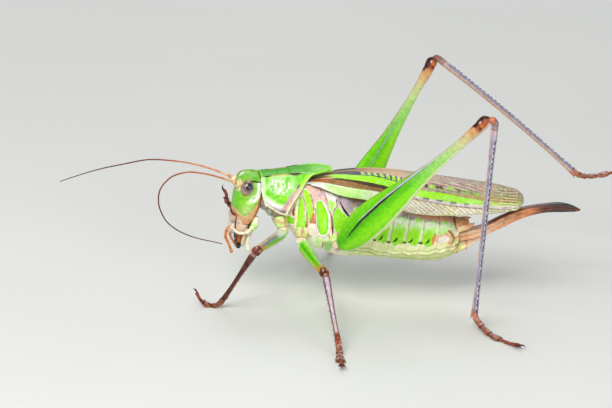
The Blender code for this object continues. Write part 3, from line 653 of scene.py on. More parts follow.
def head():
    """The head: a high dome with boxy hind corners whose cheeks end in a rounded point."""
    count, side_rows, dome_rows = 300, 130, 75
    lower = np.linspace(HEAD[0][0], HEAD[-1][0], side_rows)
    front, back, half_width = curve(HEAD, lower).T
    rise = np.linspace(0, 0.985, dome_rows)[1:] * np.pi / 2
    shrink = np.cos(rise) ** 0.85
    heights = np.concatenate([lower, HEAD[-1][0] + (CROWN_Z - HEAD[-1][0]) * np.sin(rise)])
    front = np.concatenate([front, CROWN_X + (front[-1] - CROWN_X) * shrink])
    back = np.concatenate([back, CROWN_X + (back[-1] - CROWN_X) * shrink**0.5])
    half_width = np.concatenate([half_width, half_width[-1] * shrink])
    middle = (front + back) / 2 + 0.25
    centres = np.column_stack([middle, 0 * heights, heights])
    round_half = ovals(centres, Y_AXIS, X_AXIS, half_width, middle - front, count, 2.2)
    boxy_half = ovals(centres, Y_AXIS, X_AXIS, half_width, back - middle, count, 4.5)
    points = np.where(boxy_half[..., :1] > middle[:, None, None], boxy_half, round_half)
    skin = Surface(points, True, False, "se")
    x, y, z = np.moveaxis(points, -1, 0)
    side = abs(y)
    broad, fine = noise(points, 0.7, 5), noise(points, 0.2, 8)
    # Feeler sockets, the swelling between them, and the rim around each eye.
    to_socket = np.sqrt((x - SOCKET[0]) ** 2 + (side - SOCKET[1]) ** 2 + (z - SOCKET[2]) ** 2)
    skin.lift -= 0.25 * bell(to_socket, 0.45)
    skin.lift += 0.10 * bell(to_socket - 0.70, 0.18)
    eye_place = np.stack(
        [0 * x + EYE_CENTRE[0], np.sign(y) * EYE_CENTRE[1], 0 * z + EYE_CENTRE[2]], -1
    )
    to_eye = np.linalg.norm((points - eye_place) / (EYE_RADII * 1.06), axis=-1)
    skin.lift += 0.10 * bell(to_eye - 1.14, 0.10)
    skin.lift -= 0.05 * bell(to_eye - 1.34, 0.08)
    on_side = step(side - 0.9, 0.5)
    on_top = step(z - 16.5, 0.4)
    # Ground: olive green in the middle of the cheek, brighter in front and on the crown.
    skin.lay("green", 0.75 * step(-9.1 - x, 0.8) * step(z - 12.8, 0.8))
    skin.lay("leaf", 0.6 * on_top * step(broad + 0.5, 0.8))
    skin.lay("green", 0.6 * bell(np.hypot(x + 9.0, (z - 14.6) * 0.7), 0.8))
    # A painted highlight: a soft lime patch in the middle of the cheek, below the eye.
    skin.lay("lime", 0.45 * bell(np.hypot(x + 8.1, (z - 13.7) * 0.6), 0.7))
    skin.lay("cream", 0.35 * bell(np.hypot(x + 8.3, (z - 12.9)), 0.8))
    # Cheek: tan with an orange hem along its rim.
    border = np.interp(
        x,
        [-10.1, -9.6, -9.15, -8.5, -8.0, -7.5, -7.1, -6.8],
        [12.60, 12.45, 11.98, 11.72, 12.15, 12.85, 13.50, 14.60],
    )
    low = border + 0.30 - z + 0.10 * broad
    skin.lay("olive", 0.5 * on_side * bell(low + 0.15, 0.30))
    skin.lay("cream", 0.5 * on_side * step(low, 0.40))
    skin.lay("tan", 0.90 * step(low - 0.10, 0.40))
    skin.lay("peach", 0.45 * step(low - 0.25, 0.50))
    skin.lay("blush", 0.45 * step(low - 0.3, 0.4) * step(broad, 0.6))
    distance, _ = reach(x, z, smooth_line(CHEEK_EDGE, 40))
    below = step(12.6 - z, 0.4)
    skin.lay("orange", 0.75 * below * bell(distance - 0.22, 0.14))
    skin.lay("rust", 0.9 * below * step(0.09 - distance + skin.wobble, 0.08))
    skin.lift += 0.06 * below * bell(distance - 0.30, 0.14)
    skin.stroke("orange", [(-6.55, 15.4), (-6.62, 14.2), (-6.80, 13.1), (-7.15, 12.1)],
                [0.16, 0.42, 0.46, 0.3], 0.25, 0.03, on_side)
    skin.stroke("rust", [(-6.50, 15.2), (-6.55, 14.1), (-6.72, 13.0), (-7.05, 12.0)],
                0.12, 0.12, 0, on_side)
    skin.stroke("tan", [(-10.0, 12.7), (-9.75, 12.3), (-9.35, 11.9)],
                [0.3, 0.5, 0.3], 0.3, 0, on_side)
    skin.stroke("brown", [(-9.85, 12.15), (-9.55, 11.95), (-9.30, 11.55)],
                0.10, 0.12, -0.03, on_side)
    # White stripes behind the eye, between fine green lines.
    skin.stroke("mint", [(-7.0, 16.5), (-7.02, 15.5), (-7.35, 14.7), (-8.15, 14.0)],
                [0.5, 0.75, 0.95, 0.5], 0.4, 0, on_side)
    skin.stroke("white", [(-6.95, 16.6), (-6.92, 15.6), (-7.05, 14.8), (-7.50, 14.2)],
                [0.40, 0.42, 0.50, 0.2], 0.16, 0.02, on_side)
    skin.stroke("white", [(-7.50, 15.1), (-7.75, 14.7), (-8.10, 14.2)],
                [0.25, 0.50, 0.20], 0.25, 0.02, on_side)
    skin.stroke("lilac", [(-6.60, 16.9), (-6.62, 16.2), (-6.68, 15.5)],
                [0.2, 0.3, 0.1], 0.2, 0, on_side)
    skin.stroke("green", [(-7.25, 16.2), (-7.33, 15.4), (-7.60, 14.6)], 0.08, 0.10, -0.02, on_side)
    # Rims: orange-brown in front of the eye, a dark line from the eye to the shield.
    skin.lay("olive", 0.6 * on_side * bell(to_eye - 1.14, 0.10))
    skin.lay("orange", 0.55 * on_side * bell(to_eye - 1.10, 0.07) * step(-8.3 - x, 0.8))
    skin.lay("leaf", 0.6 * on_side * bell(to_eye - 1.32, 0.07))
    skin.stroke("maroon", [(-8.35, 16.80), (-7.8, 16.88), (-7.2, 16.80), (-6.65, 16.72)],
                [0.10, 0.17, 0.17, 0.08], 0.08, 0, on_side)
    # The crown's thin brown line, the pale spot beside it, the pale feeler sockets.
    skin.lay("orange", 0.85 * bell(y, 0.09) * on_top * step(x + 9.1, 0.3))
    skin.lay("lime", 0.6 * on_top * between(side, 0.25, 0.6, 0.2) * step(x + 8.9, 0.5))
    skin.lay("cream", 0.9 * bell(to_socket - 0.66, 0.24))
    skin.lay("orange", 0.6 * bell(to_socket - 0.50, 0.14))
    skin.lay("tan", 0.5 * bell(y, 0.12) * step(-9.4 - x, 0.2) * step(15.4 - z, 0.5))
    skin.lift += 0.006 * fine
    # The blunt ridge between the feelers.
    ridge = pipe([(-7.6, 0, 17.02), (-8.5, 0, 17.06), (-9.10, 0, 16.76), (-9.42, 0, 16.05)],
                 [0.55, 0.66, 0.66, 0.52, 0.36], 90, 48, rounded=(0.4, 0.5), flatten=0.80)
    rx, ry, rz = np.moveaxis(ridge.points, -1, 0)
    ridge.lay("green", 0.5)
    ridge.lay("white", 0.9 * blob(rx, abs(ry), (-9.02, 0.38), (0.34, 0.26)))
    ridge.lay("orange", 0.8 * bell(ry, 0.09) * step(rz - 16.9, 0.2))
    ridge.lay("olive", 0.5 * step(-9.3 - rx, 0.2))
    piece("head", [skin, ridge], "head_skin")


def eye(side):
    """An eye: grey-brown and finely pitted, with a dark pupil and an orange-brown rim."""
    rows, count = 110, 150
    polar = np.linspace(0.02, np.pi - 0.02, rows)
    turn = np.linspace(0, 2 * np.pi, count, endpoint=False)
    ring, height = np.sin(polar)[:, None], np.cos(polar)[:, None]
    unit_ball = np.stack([ring * np.cos(turn), height * np.ones(count), ring * np.sin(turn)], -1)
    lean = np.array(Matrix.Rotation(EYE_LEAN, 3, "Y"))
    ball = (unit_ball * EYE_RADII) @ lean.T
    made = Surface(ball * (1, side, 1) + EYE_CENTRE * (1, side, 1), True, side == LEFT, "se")
    across, outward, up = np.moveaxis(unit_ball, -1, 0)
    facets = cells(across, up, 0.05)
    made.lift += 0.004 * (facets - 0.4) * step(outward - 0.3, 0.3)
    mottled = noise(made.points, 0.22, 3)
    made.lay("grey", 0.45 + 0.2 * mottled)
    made.lay("tan", 0.30 * step(outward - 0.5, 0.5) * step(mottled + 0.2, 0.6))
    from_pupil = np.hypot(across + 0.04, up - 0.34)
    made.lay("slate", 0.75 * bell(from_pupil - 0.66, 0.10))
    made.lay("tan", 0.35 * bell(from_pupil - 0.86, 0.08))
    made.lay("black", step(0.47 - from_pupil + 0.03 * mottled, 0.16))
    made.lay("tan", 0.35 * bell(outward - 0.30, 0.12) * step(mottled + 0.2, 0.6))
    made.lay("orange", 0.65 * bell(outward - 0.02, 0.10))
    made.lay("leaf", step(-0.14 - outward, 0.10))
    piece(f"eye_{SIDES[side]}", [made], "eye")


def hanging(stations, top, bottom, rows, count, power):
    """A part that hangs down, from stations (z, front, back, half width, shift sideways)."""
    heights = np.linspace(bottom, top, rows)
    front, back, half_width, off = curve(sorted(stations), heights).T
    centres = np.column_stack([(front + back) / 2, off, heights])
    points = ovals(centres, Y_AXIS, X_AXIS, half_width, (back - front) / 2, count, power)
    return Surface(points, True, False, "se")


def labrum():
    """The clypeus and, below a groove, the upper lip."""
    stations = [
        (9.00, -9.95, -9.55, 0.55, 0),
        (9.15, -10.06, -9.50, 0.90, 0),
        (9.60, -10.22, -9.48, 1.25, 0),
        (10.30, -10.28, -9.45, 1.36, 0),
        (10.78, -10.16, -9.42, 1.22, 0),
        (10.92, -10.22, -9.42, 1.36, 0),
        (11.20, -10.28, -9.40, 1.55, 0),
        (11.95, -10.10, -9.40, 1.80, 0),
    ]
    plate = hanging(stations, 11.95, 9.0, 130, 140, 2.8)
    z = plate.points[..., 2]
    side = abs(plate.points[..., 1])
    mottled = noise(plate.points, 0.25)
    plate.lay("blush", 0.45 + 0.3 * mottled)
    plate.lay("tan", 0.45 * step(z - 11.2, 0.5))
    plate.lay("lilac", 0.35 * step(noise(plate.points, 0.4, 6) - 0.1, 0.4))
    plate.lay("white", 0.45 * step(10.7 - z, 0.8))
    plate.lay("brown", 0.5 * step(noise(plate.points, 0.17, 5) - 0.45, 0.4))
    plate.lay("brown", 0.85 * bell(z - 10.80, 0.07), -0.03)
    plate.lay("rust", 0.85 * step(z - 11.80, 0.12))
    plate.lay("brown", 0.5 * bell(side - 1.20, 0.07) * step(z - 9.6, 0.3))
    plate.lay("tan", 0.6 * step(9.25 - z, 0.15))
    plate.lift -= 0.06 * bell(side, 0.16) * step(10.5 - z, 0.3)
    plate.lift += 0.012 * mottled
    piece("labrum", [plate], "mouth")


def mandible(side):
    """A jaw: pinkish at its root like the face, then brown and orange with a black edge."""
    stations = [
        (6.95, -9.05, -8.60, 0.28, 0.36 * side),
        (7.30, -9.20, -8.48, 0.40, 0.46 * side),
        (7.90, -9.30, -8.30, 0.50, 0.62 * side),
        (9.10, -9.42, -8.00, 0.68, 0.98 * side),
        (10.40, -9.46, -7.80, 0.80, 1.30 * side),
        (11.85, -9.46, -7.70, 0.85, 1.50 * side),
    ]
    jaw = hanging(stations, 11.85, 6.95, 140, 90, 2.4)
    x, y, z = np.moveaxis(jaw.points, -1, 0)
    streak = noise(jaw.points * (1, 1, 0.25), 0.25, 4)
    jaw.lay("blush", 0.7)
    jaw.lay("brown", 0.35 * step(noise(jaw.points, 0.3, 5) - 0.3, 0.4))
    jaw.lay("rust", step(9.75 - z + 0.2 * streak, 0.5))
    jaw.lay("orange", 0.8 * step(9.5 - z, 0.6) * step(z - 7.7, 0.5) * bell(x + 8.95, 0.22))
    jaw.lay("maroon", 0.9 * step(9.3 - z, 0.8) * bell(x + 8.5 + 0.1 * streak, 0.14))
    jaw.lay("black", 0.85 * step(9.0 - z, 0.8) * step(-9.18 - x + 0.1 * streak, 0.1))
    jaw.lay("black", step(7.9 - z + 0.4 * streak, 0.5))
    jaw.lay("black", 0.8 * step(0.42 - abs(y), 0.3) * step(9.4 - z, 0.5))
    jaw.lift -= 0.08 * bell(x + 8.5, 0.10) * step(9.6 - z, 0.8)
    jaw.lift += 0.05 * np.sin(z * 9) * step(8.2 - z, 0.3)
    piece(f"mandible_{SIDES[side]}", [jaw], "mouth")


def labium():
    """The lower lip, which closes the mouth from behind."""
    stations = [
        (8.10, -7.85, -7.45, 0.70, 0),
        (9.10, -7.80, -7.10, 1.20, 0),
        (10.30, -7.62, -6.75, 1.50, 0),
        (11.85, -7.55, -6.65, 1.45, 0),
    ]
    lip = hanging(stations, 11.85, 8.1, 70, 70, 2.2)
    _, y, z = np.moveaxis(lip.points, -1, 0)
    lip.lay("mint", 0.6 * step(z - 9.6, 1.0))
    lip.lay("grey", 0.5 * step(z - 10.9, 0.5))
    lip.lay("tan", 0.6 * bell(y, 0.14))
    lip.lift -= 0.15 * bell(y, 0.14) * step(9.8 - z, 0.5)
    lip.lay("brown", 0.5 * bell(z - 10.2, 0.08))
    piece("labium", [lip], "mouth")


# The routes of the palps; each side has its own.
MAXILLARY_PALP = {
    LEFT: [
        (-7.12, -2.35, 10.80), (-8.27, -2.75, 9.79), (-9.21, -2.75, 9.76), (-10.51, -2.35, 10.44),
        (-10.92, -2.30, 9.14), (-10.43, -2.35, 8.12), (-9.89, -2.35, 6.81),
    ],
    RIGHT: [
        (-7.12, 2.35, 10.80), (-7.90, 2.75, 9.60), (-8.70, 2.75, 9.05), (-9.45, 2.40, 8.90),
        (-9.65, 2.25, 8.00), (-9.20, 2.20, 7.10), (-8.60, 2.10, 6.30),
    ],
}
LABIAL_PALP = {
    LEFT: [(-7.40, -1.75, 9.90), (-7.75, -2.00, 9.10), (-7.80, -2.05, 8.20), (-7.65, -2.05, 6.95)],
    RIGHT: [(-7.40, 1.75, 9.90), (-7.60, 1.60, 9.00), (-7.95, 1.30, 8.00), (-8.10, 1.15, 6.75)],
}


def joints(share, breaks, waist=0.24, width=0.014):
    """A factor on the radius of a limb that narrows at each break between its joints."""
    factor = 1.0
    for at in breaks:
        factor = factor - waist * bell(share - at, width)
    return factor


def palps(side):
    """The two feelers of the mouth on one side, with the jaw's pale lobes."""
    count = 260
    share = np.linspace(0, 1, count)
    breaks = (0.10, 0.22, 0.50, 0.70)
    radius = np.interp(share, [0, 0.2, 0.5, 0.72, 0.9, 1], [0.30, 0.24, 0.20, 0.17, 0.23, 0.17])
    outer = pipe(MAXILLARY_PALP[side], radius * joints(share, breaks, 0.16, 0.010), count, 24,
                 rounded=(0.2, 0.2))
    outer.lay("cream", 0.5)
    outer.lay("white", 0.35 * step(0.45 - outer.share, 0.2))
    outer.lay("blush", 0.6 * bell(outer.share - 0.42, 0.08))
    outer.lay("orange", step(outer.share - 0.48, 0.08))
    outer.lay("tan", 0.5 * step(outer.share - 0.5, 0.08) * step(noise(outer.points, 0.4), 0.4))
    for at in breaks:
        outer.lay("brown", 0.6 * bell(outer.share - at, 0.006))
    root = [(-6.85, side * 1.95, 11.95), (-6.95, side * 2.15, 11.3), (-7.20, side * 2.2, 10.5),
            (-7.65, side * 2.0, 9.85)]
    lobe = pipe(root, [0.30, 0.44, 0.50, 0.46, 0.34], 80, 40, rounded=(0.3, 0.45))
    pattern = noise(lobe.points, 0.5, 3)
    lobe.lay("white", 0.6)
    lobe.lay("mint", 0.8 * step(pattern + 0.2, 0.6))
    lobe.lay("lime", 0.5 * step(pattern - 0.2, 0.5))
    lobe.lay("tan", 0.8 * (bell(lobe.share - 0.05, 0.05) + bell(lobe.share - 0.90, 0.05)))
    lobe.lay("brown", 0.5 * bell(lobe.share - 0.62, 0.02))
    blade = [(-8.0, side * 1.6, 10.1), (-8.15, side * 1.55, 9.2), (-8.30, side * 1.30, 8.3),
             (-8.35, side * 1.0, 7.4)]
    inner = pipe(blade, [0.30, 0.36, 0.36, 0.32, 0.22], 70, 24, rounded=(0.2, 0.3))
    inner.lay("tan", 0.35)
    inner.lay("white", 0.4 * bell(np.cos(np.radians(inner.angle)) - 0.5, 0.4))
    inner.lay("brown", 0.6 * bell(inner.share - 0.34, 0.02) + 0.7 * step(inner.share - 0.93, 0.05))
    piece(f"maxillary_palp_{SIDES[side]}", [outer, lobe, inner], "mouth")
    count = 140
    share = np.linspace(0, 1, count)
    radius = np.interp(share, [0, 0.4, 0.85, 1], [0.24, 0.21, 0.26, 0.20])
    labial = pipe(LABIAL_PALP[side], radius * joints(share, (0.3, 0.6), 0.18, 0.014), count, 24,
                  rounded=(0.2, 0.22))
    labial.lay("white", 0.3)
    labial.lay("tan", 0.6 * step(labial.share - 0.90, 0.08))
    for at in (0.3, 0.6):
        labial.lay("brown", 0.5 * bell(labial.share - at, 0.010))
    piece(f"labial_palp_{SIDES[side]}", [labial], "mouth")


ANTENNA_ROUTE = {
    LEFT: [
        (-10.40, -1.70, 16.52), (-12.21, -2.50, 17.27), (-15.12, -4.00, 18.24),
        (-17.30, -5.50, 18.68), (-19.34, -6.50, 18.16), (-20.61, -7.00, 16.64),
        (-20.71, -7.00, 15.01), (-19.94, -6.50, 12.96), (-18.02, -5.00, 10.78),
        (-15.15, -4.00, 9.32), (-12.62, -3.30, 8.60), (-11.40, -3.00, 8.25),
    ],
    RIGHT: [
        (-10.55, 1.65, 16.42), (-12.24, 2.50, 16.83), (-14.92, 4.00, 17.15),
        (-18.06, 5.00, 17.25), (-20.64, 6.00, 17.01), (-24.00, 7.00, 15.99),
        (-27.36, 8.00, 14.82), (-30.63, 8.50, 13.51), (-32.31, 9.00, 12.68),
    ],
}


def antenna(side):
    """The thick first joint, the small second one and the many-jointed thread."""
    name = f"antenna_{SIDES[side]}"
    route = ANTENNA_ROUTE[side]
    start = SOCKET * (1, side, 1)
    first = np.array(route[0])
    base = pipe(
        [start, start * 0.65 + first * 0.35, start * 0.3 + first * 0.7, first],
        [0.36, 0.47, 0.47, 0.42, 0.30, 0.26, 0.28, 0.25, 0.17], 90, 36, rounded=(0.1, 0.1),
    )
    mottled = noise(base.points, 0.35, 2)
    base.lay("orange", 0.75 * step(mottled + 0.1, 0.6))
    base.lay("cream", 0.8 * bell(base.share - 0.33, 0.18))
    base.lay("brown", 0.7 * bell(base.share - 0.60, 0.03))
    base.lay("orange", 0.6 * step(base.share - 0.68, 0.08))
    piece(f"{name}_base", [base], "mouth")
    count, beads = 1500, 150
    share = np.linspace(0, 1, count)
    radius = np.interp(share, [0, 0.08, 0.3, 0.7, 1], [0.17, 0.135, 0.105, 0.08, 0.055])
    radius = radius * (1 + 0.035 * np.cos(2 * np.pi * beads * share))
    thread = pipe(route, radius, count, 12)
    thread.lay("orange", step(0.30 - thread.share, 0.4))
    # A painted highlight: pinkish blush on the upper side of the thread near its root, where the
    # light falls.
    on_top = step(np.cos(np.radians(thread.angle)), 1)
    thread.lay("blush", 0.35 * step(0.25 - thread.share, 0.3) * on_top)
    thread.lay("maroon", 0.75 * step(thread.share - 0.45, 0.4))
    thread.lay("cream", 0.45 * step(0.05 - thread.share, 0.05))
    thread.lay("brown", 0.35 * (np.cos(2 * np.pi * beads * thread.share) < -0.6))
    piece(name, [thread], "feeler", [f"{name}_inner", f"{name}_outer"])


# --- Thorax --------------------------------------------------------------------------------

CARINA = [  # x, carina height, disc half width, lobe half width, lobe bottom
    (-6.45, 17.22, 1.75, 2.75, 13.95),
    (-5.75, 17.35, 1.65, 2.95, 13.62),
    (-4.20, 17.58, 1.60, 3.15, 12.92),
    (-3.50, 17.68, 1.65, 3.25, 12.76),
    (-1.20, 18.02, 2.15, 3.40, 12.78),
    (0.80, 18.15, 2.55, 3.45, 12.80),
    (3.20, 18.28, 2.50, 3.40, 12.80),
]
HIND_EDGE = [  # share of the way from the midline to the lobe's bottom, x of the hind edge
    (0.00, 3.15), (0.16, 2.60), (0.30, 1.05), (0.37, 0.10), (0.45, -0.45),
    (0.60, -1.15), (0.80, -2.15), (0.92, -2.74), (1.00, -3.05),
]
PRONOTUM_FRONT_X = -6.62
CARINA_SHARE = 0.34  # of the way from the midline to the lobe's bottom, where the carina lies
SHIELD_THICKNESS = 0.22


def pronotum_points(x, v):
    """Points of the shield: v is 0 at the midline and 1 at a lobe's bottom, signed by side."""
    carina_z, disc, lobe, bottom = np.moveaxis(curve(CARINA, x), -1, 0)
    side, v = np.where(v < 0, -1, 1), abs(v)
    t_disc = v / CARINA_SHARE
    t = np.clip((v - CARINA_SHARE) / (1 - CARINA_SHARE), 0, 1)
    y_lobe = disc + (lobe - disc) * np.sin(np.minimum(t * 1.35, 1) * np.pi / 2)
    z_lobe = carina_z + (bottom - carina_z) * (t - 0.05 * np.sin(np.pi * t))
    on_disc = v < CARINA_SHARE
    y = np.where(on_disc, disc * t_disc, y_lobe)
    z = np.where(on_disc, carina_z + 0.18 * (1 - t_disc**2), z_lobe)
    return np.stack([x, side * y, z], -1)


def pronotum():
    """The saddle-shaped shield: green, with pale wrinkled sides and a lilac and cream hem."""
    across, along = 321, 220
    v = np.linspace(-1, 1, across)[:, None] * np.ones(along)
    (hind,) = curve(HIND_EDGE, abs(v)).T
    hind = hind.T
    front = PRONOTUM_FRONT_X + 0.65 * np.maximum(0, (abs(v) - 0.6) / 0.4) ** 2
    x = front + (hind - front) * np.linspace(0, 1, along)
    points = pronotum_points(x, v)
    points[..., 2] -= 0.22 * bell(x + 3.4, 1.3) * np.maximum(0, (abs(v) - 0.7) / 0.3)
    shield = Surface(points, False, True)
    x, y, z = np.moveaxis(shield.points, -1, 0)
    w = abs(v)
    bottom = curve(CARINA, x)[..., 3] - 0.22 * bell(x + 3.4, 1.3)
    to_hind = (hind - x) * np.interp(w, [0, 0.2, 0.35, 0.5, 1], [0.5, 0.5, 0.55, 0.85, 0.85])
    to_low = z - bottom
    hem = np.minimum(np.where(w > 0.4, to_low, 9), to_hind)
    to_front = x - front
    on_side = step(w - CARINA_SHARE, 0.03)
    on_disc = 1 - on_side
    broad, fine = noise(shield.points, 0.8), noise(shield.points, 0.22, 5)
    # Ground: brighter and darker greens, bright at the back of the disc.
    shield.lay("leaf", 0.30 * on_side * step(broad + 0.2, 0.8))
    shield.lay("leaf", 0.85 * on_disc * step(1.0 - x, 2.5))
    shield.lay("deep", 0.40 * on_disc * step(-1.0 - x, 3.5))
    shield.lay("green", 0.6 * step(x + 0.2, 1.5) * on_disc)
    shield.lay("mint", 0.30 * on_disc * step(x - 0.4, 1.0) * bell(w - 0.10, 0.10))
    shield.lay("deep", 0.35 * bell(w - 0.05, 0.05) * step(-1 - x, 2))
    # The pale patch on each side is finely blotched and pitted, palest in its middle.
    place = np.hypot((x + 4.02) / 1.45, (z - 16.25) / 1.05) + 0.22 * broad
    inner = step(1.0 - place, 0.5) * on_side
    blotch = noise(shield.points * (1.3, 1, 1), 0.34, 2) + 0.5 * noise(shield.points, 0.17, 9)
    shield.lay("mint", inner * (0.60 + 0.40 * step(blotch, 0.8)))
    shield.lay("white", 0.75 * inner * step(blotch - 0.10, 0.7))
    shield.lay("green", 0.55 * inner * step(-0.30 - blotch, 0.5))
    shield.lift += 0.030 * blotch * step(1.25 - place, 0.6) * on_side
    ring = bell(place - 1.25, 0.22) * on_side
    shield.lay("mint", 0.35 * ring * step(noise(shield.points, 0.5, 7), 0.6))
    shield.lay("green", 0.5 * blob(x, z, (-5.45, 15.6), (0.35, 1.1)) * on_side)
    shield.lay("mint", 0.55 * blob(x, z, (-2.45, 16.9), (0.35, 0.7)) * on_side)
    shield.lay("lime", 0.55 * on_side * blob(x, z, (-3.3, 14.65), (1.2, 0.5)))
    shield.lift += 0.012 * fine
    # Furrows across the shield and its rounded shoulders.
    for at, depth in ((-4.75, 0.07), (-3.1, 0.09), (-0.9, 0.05)):
        bend = at + 0.35 * np.cos(w * 4)
        shield.lift -= depth * bell(x - bend, 0.16) * step(0.8 - w, 0.2)
        shield.lay("leaf", 0.5 * bell(x - bend, 0.10) * step(0.7 - w, 0.2))
    shield.lift += 0.05 * bell(w - CARINA_SHARE, 0.03)
    shield.lift += 0.04 * bell(y, 0.08) * step(x + 1.0, 1.0)
    # Front border: pale, slightly raised.
    shield.lay("mint", 0.9 * step(0.55 - to_front - 0.12 * broad, 0.3) * on_side)
    shield.lay("white", 0.5 * step(0.22 - to_front, 0.15) * on_side)
    shield.lay("lime", 0.6 * step(0.25 - to_front, 0.2) * on_disc)
    shield.lift += 0.05 * bell(to_front - 0.12, 0.1)
    # The hem: white, then lilac low down, pinkish brown behind, edged with a cream bead.
    low_band = step(1.15 - to_low + 0.12 * broad, 0.3) * step(w - 0.6, 0.1) * step(x + 6.0, 0.6)
    low_band = low_band * step(to_hind - 0.15, 0.2)
    shield.lay("mint", 0.8 * step(1.45 - to_low, 0.5) * step(w - 0.6, 0.1) * on_side)
    shield.lay("white", 0.95 * low_band)
    shield.lay("lilac", 0.7 * low_band * step(0.62 - to_low + 0.1 * broad, 0.3))
    shield.lay("slate", 0.5 * low_band * bell(to_low - 0.33, 0.09) * step(x + 5.2, 0.5))
    hind_band = step(0.78 - to_hind + 0.06 * broad, 0.14) * step(w - 0.52, 0.05)
    shield.lay("lilac", 0.9 * step(0.95 - to_hind, 0.2) * step(w - 0.66, 0.08))
    shield.lay("blush", 0.95 * hind_band)
    shield.lay("brown", 0.35 * hind_band * bell(to_hind - 0.62, 0.12))
    shield.lay("lime", 0.95 * step(0.50 - to_hind, 0.2) * step(0.60 - w, 0.08) * on_side)
    corner = np.hypot((x + 3.35) / 0.75, (z - 12.95) / 0.28)
    shield.lay("slate", 0.75 * step(1 - corner, 0.8) * on_side)
    shield.lay("slate", 0.9 * step(1 - np.hypot((to_hind - 0.62) / 0.14, (w - 0.56) / 0.04), 0.6))
    bead = step(0.22 - hem, 0.08)
    shield.lay("cream", bead * on_side)
    shield.lay("lime", 0.8 * bead * on_disc)
    shield.lay("lime", 0.7 * bead * on_side * step(0.58 - w, 0.08))
    shield.lift += 0.08 * bell(hem - 0.11, 0.10)
    shield.lift -= 0.03 * bell(hem - 0.30, 0.06)
    # Dashes along the shoulder: dark, a thin orange line, then dark again.
    shield.lay("mint", 0.85 * bell(w - 0.30, 0.022) * step(x + 1.5, 0.3) * step(0.7 - x, 0.4))
    shield.lay("mint", 0.5 * bell(w - 0.37, 0.02) * between(x, -5.2, -2.6, 0.4))
    shoulder = abs(w - CARINA_SHARE + 0.012)
    shield.lay("tan", 0.8 * step(0.024 - shoulder, 0.012) * between(x, -5.3, -2.8, 0.2))
    shield.lay("orange", 0.8 * step(0.012 - shoulder, 0.010) * between(x, -5.3, -2.8, 0.2))
    for low, high, thick in ((-6.35, -5.15, 0.026), (-3.05, -1.15, 0.034)):
        middle, half = (low + high) / 2, (high - low) / 2
        taper = np.clip(1 - ((x - middle) / half) ** 2, 0, 1)
        shield.lay("rust", 0.7 * step(thick * 1.3 * taper - shoulder, 0.014) * (taper > 0))
        shield.lay("maroon", step(thick * taper - shoulder, 0.012) * (taper > 0))
    piece("pronotum", [shield], "green_skin", thickness=SHIELD_THICKNESS)


TRUNK = [  # x, bottom, top, half width
    (-6.35, 12.75, 16.45, 1.75),
    (-5.00, 11.65, 16.65, 2.00),
    (-3.60, 10.85, 16.80, 2.15),
    (-2.30, 10.05, 16.75, 2.45),
    (-0.66, 8.00, 15.55, 2.90),
    (1.00, 7.50, 15.60, 3.20),
    (2.40, 7.10, 15.70, 3.40),
    (4.50, 6.40, 15.70, 3.60),
    (6.00, 6.35, 15.60, 3.70),
    (8.60, 6.35, 15.40, 3.85),
    (12.20, 6.12, 14.80, 3.90),
    (15.30, 5.95, 14.10, 3.80),
    (17.50, 5.92, 13.50, 3.55),
    (19.20, 6.15, 12.80, 3.05),
    (20.40, 6.75, 12.15, 2.45),
    (21.10, 7.40, 11.75, 1.75),
]


# The thorax's marks are drawn in a plane at SIDE_Y, as they are seen from the camera: farther in,
# a place on the skin shifts in that plane by this much in x and z for each millimetre of depth.
SIDE_Y = 3.0
PER_DEPTH = (-0.176, 0.301)
PLATES = [  # outline of each green plate, tone of its middle, tone of its rim
    ([(-3.21, 12.09), (-2.80, 12.39), (-2.31, 12.13), (-1.83, 12.02), (-1.91, 11.30),
      (-2.72, 11.36), (-3.15, 11.50)], "lime", "green"),
    ([(-1.52, 15.1), (-1.20, 15.12), (-0.87, 14.45), (-0.62, 13.36), (-0.49, 12.33),
      (-0.43, 10.76), (-0.81, 10.67), (-1.61, 10.71), (-1.65, 11.74), (-1.58, 13.31)],
     "lime", "green"),
    ([(-1.15, 16.0), (-0.78, 16.1), (-0.44, 15.9), (-0.07, 15.26), (0.36, 13.82), (0.57, 12.96),
      (0.26, 12.21), (-0.17, 12.06), (-0.39, 13.37), (-0.79, 14.86), (-1.02, 15.63)],
     "lime", "lime"),
    ([(0.92, 14.45), (1.38, 14.58), (1.85, 14.09), (2.27, 13.36), (2.57, 12.58), (2.68, 11.72),
      (2.73, 10.58), (2.41, 9.92), (1.72, 9.93), (1.41, 10.68), (1.25, 11.53), (0.99, 12.83),
      (0.89, 13.76)], "lime", "green"),
    ([(2.45, 14.70), (3.02, 14.55), (3.42, 14.4), (3.47, 14.06), (3.22, 13.39), (3.02, 12.89),
      (2.65, 13.67)], "lime", "mint"),
    ([(3.91, 13.81), (4.31, 13.20), (5.06, 12.54), (5.30, 11.70), (4.70, 10.60), (4.08, 10.10),
      (3.62, 10.71), (3.40, 11.74), (3.26, 12.54), (3.48, 13.26)], "lime", "lime"),
]


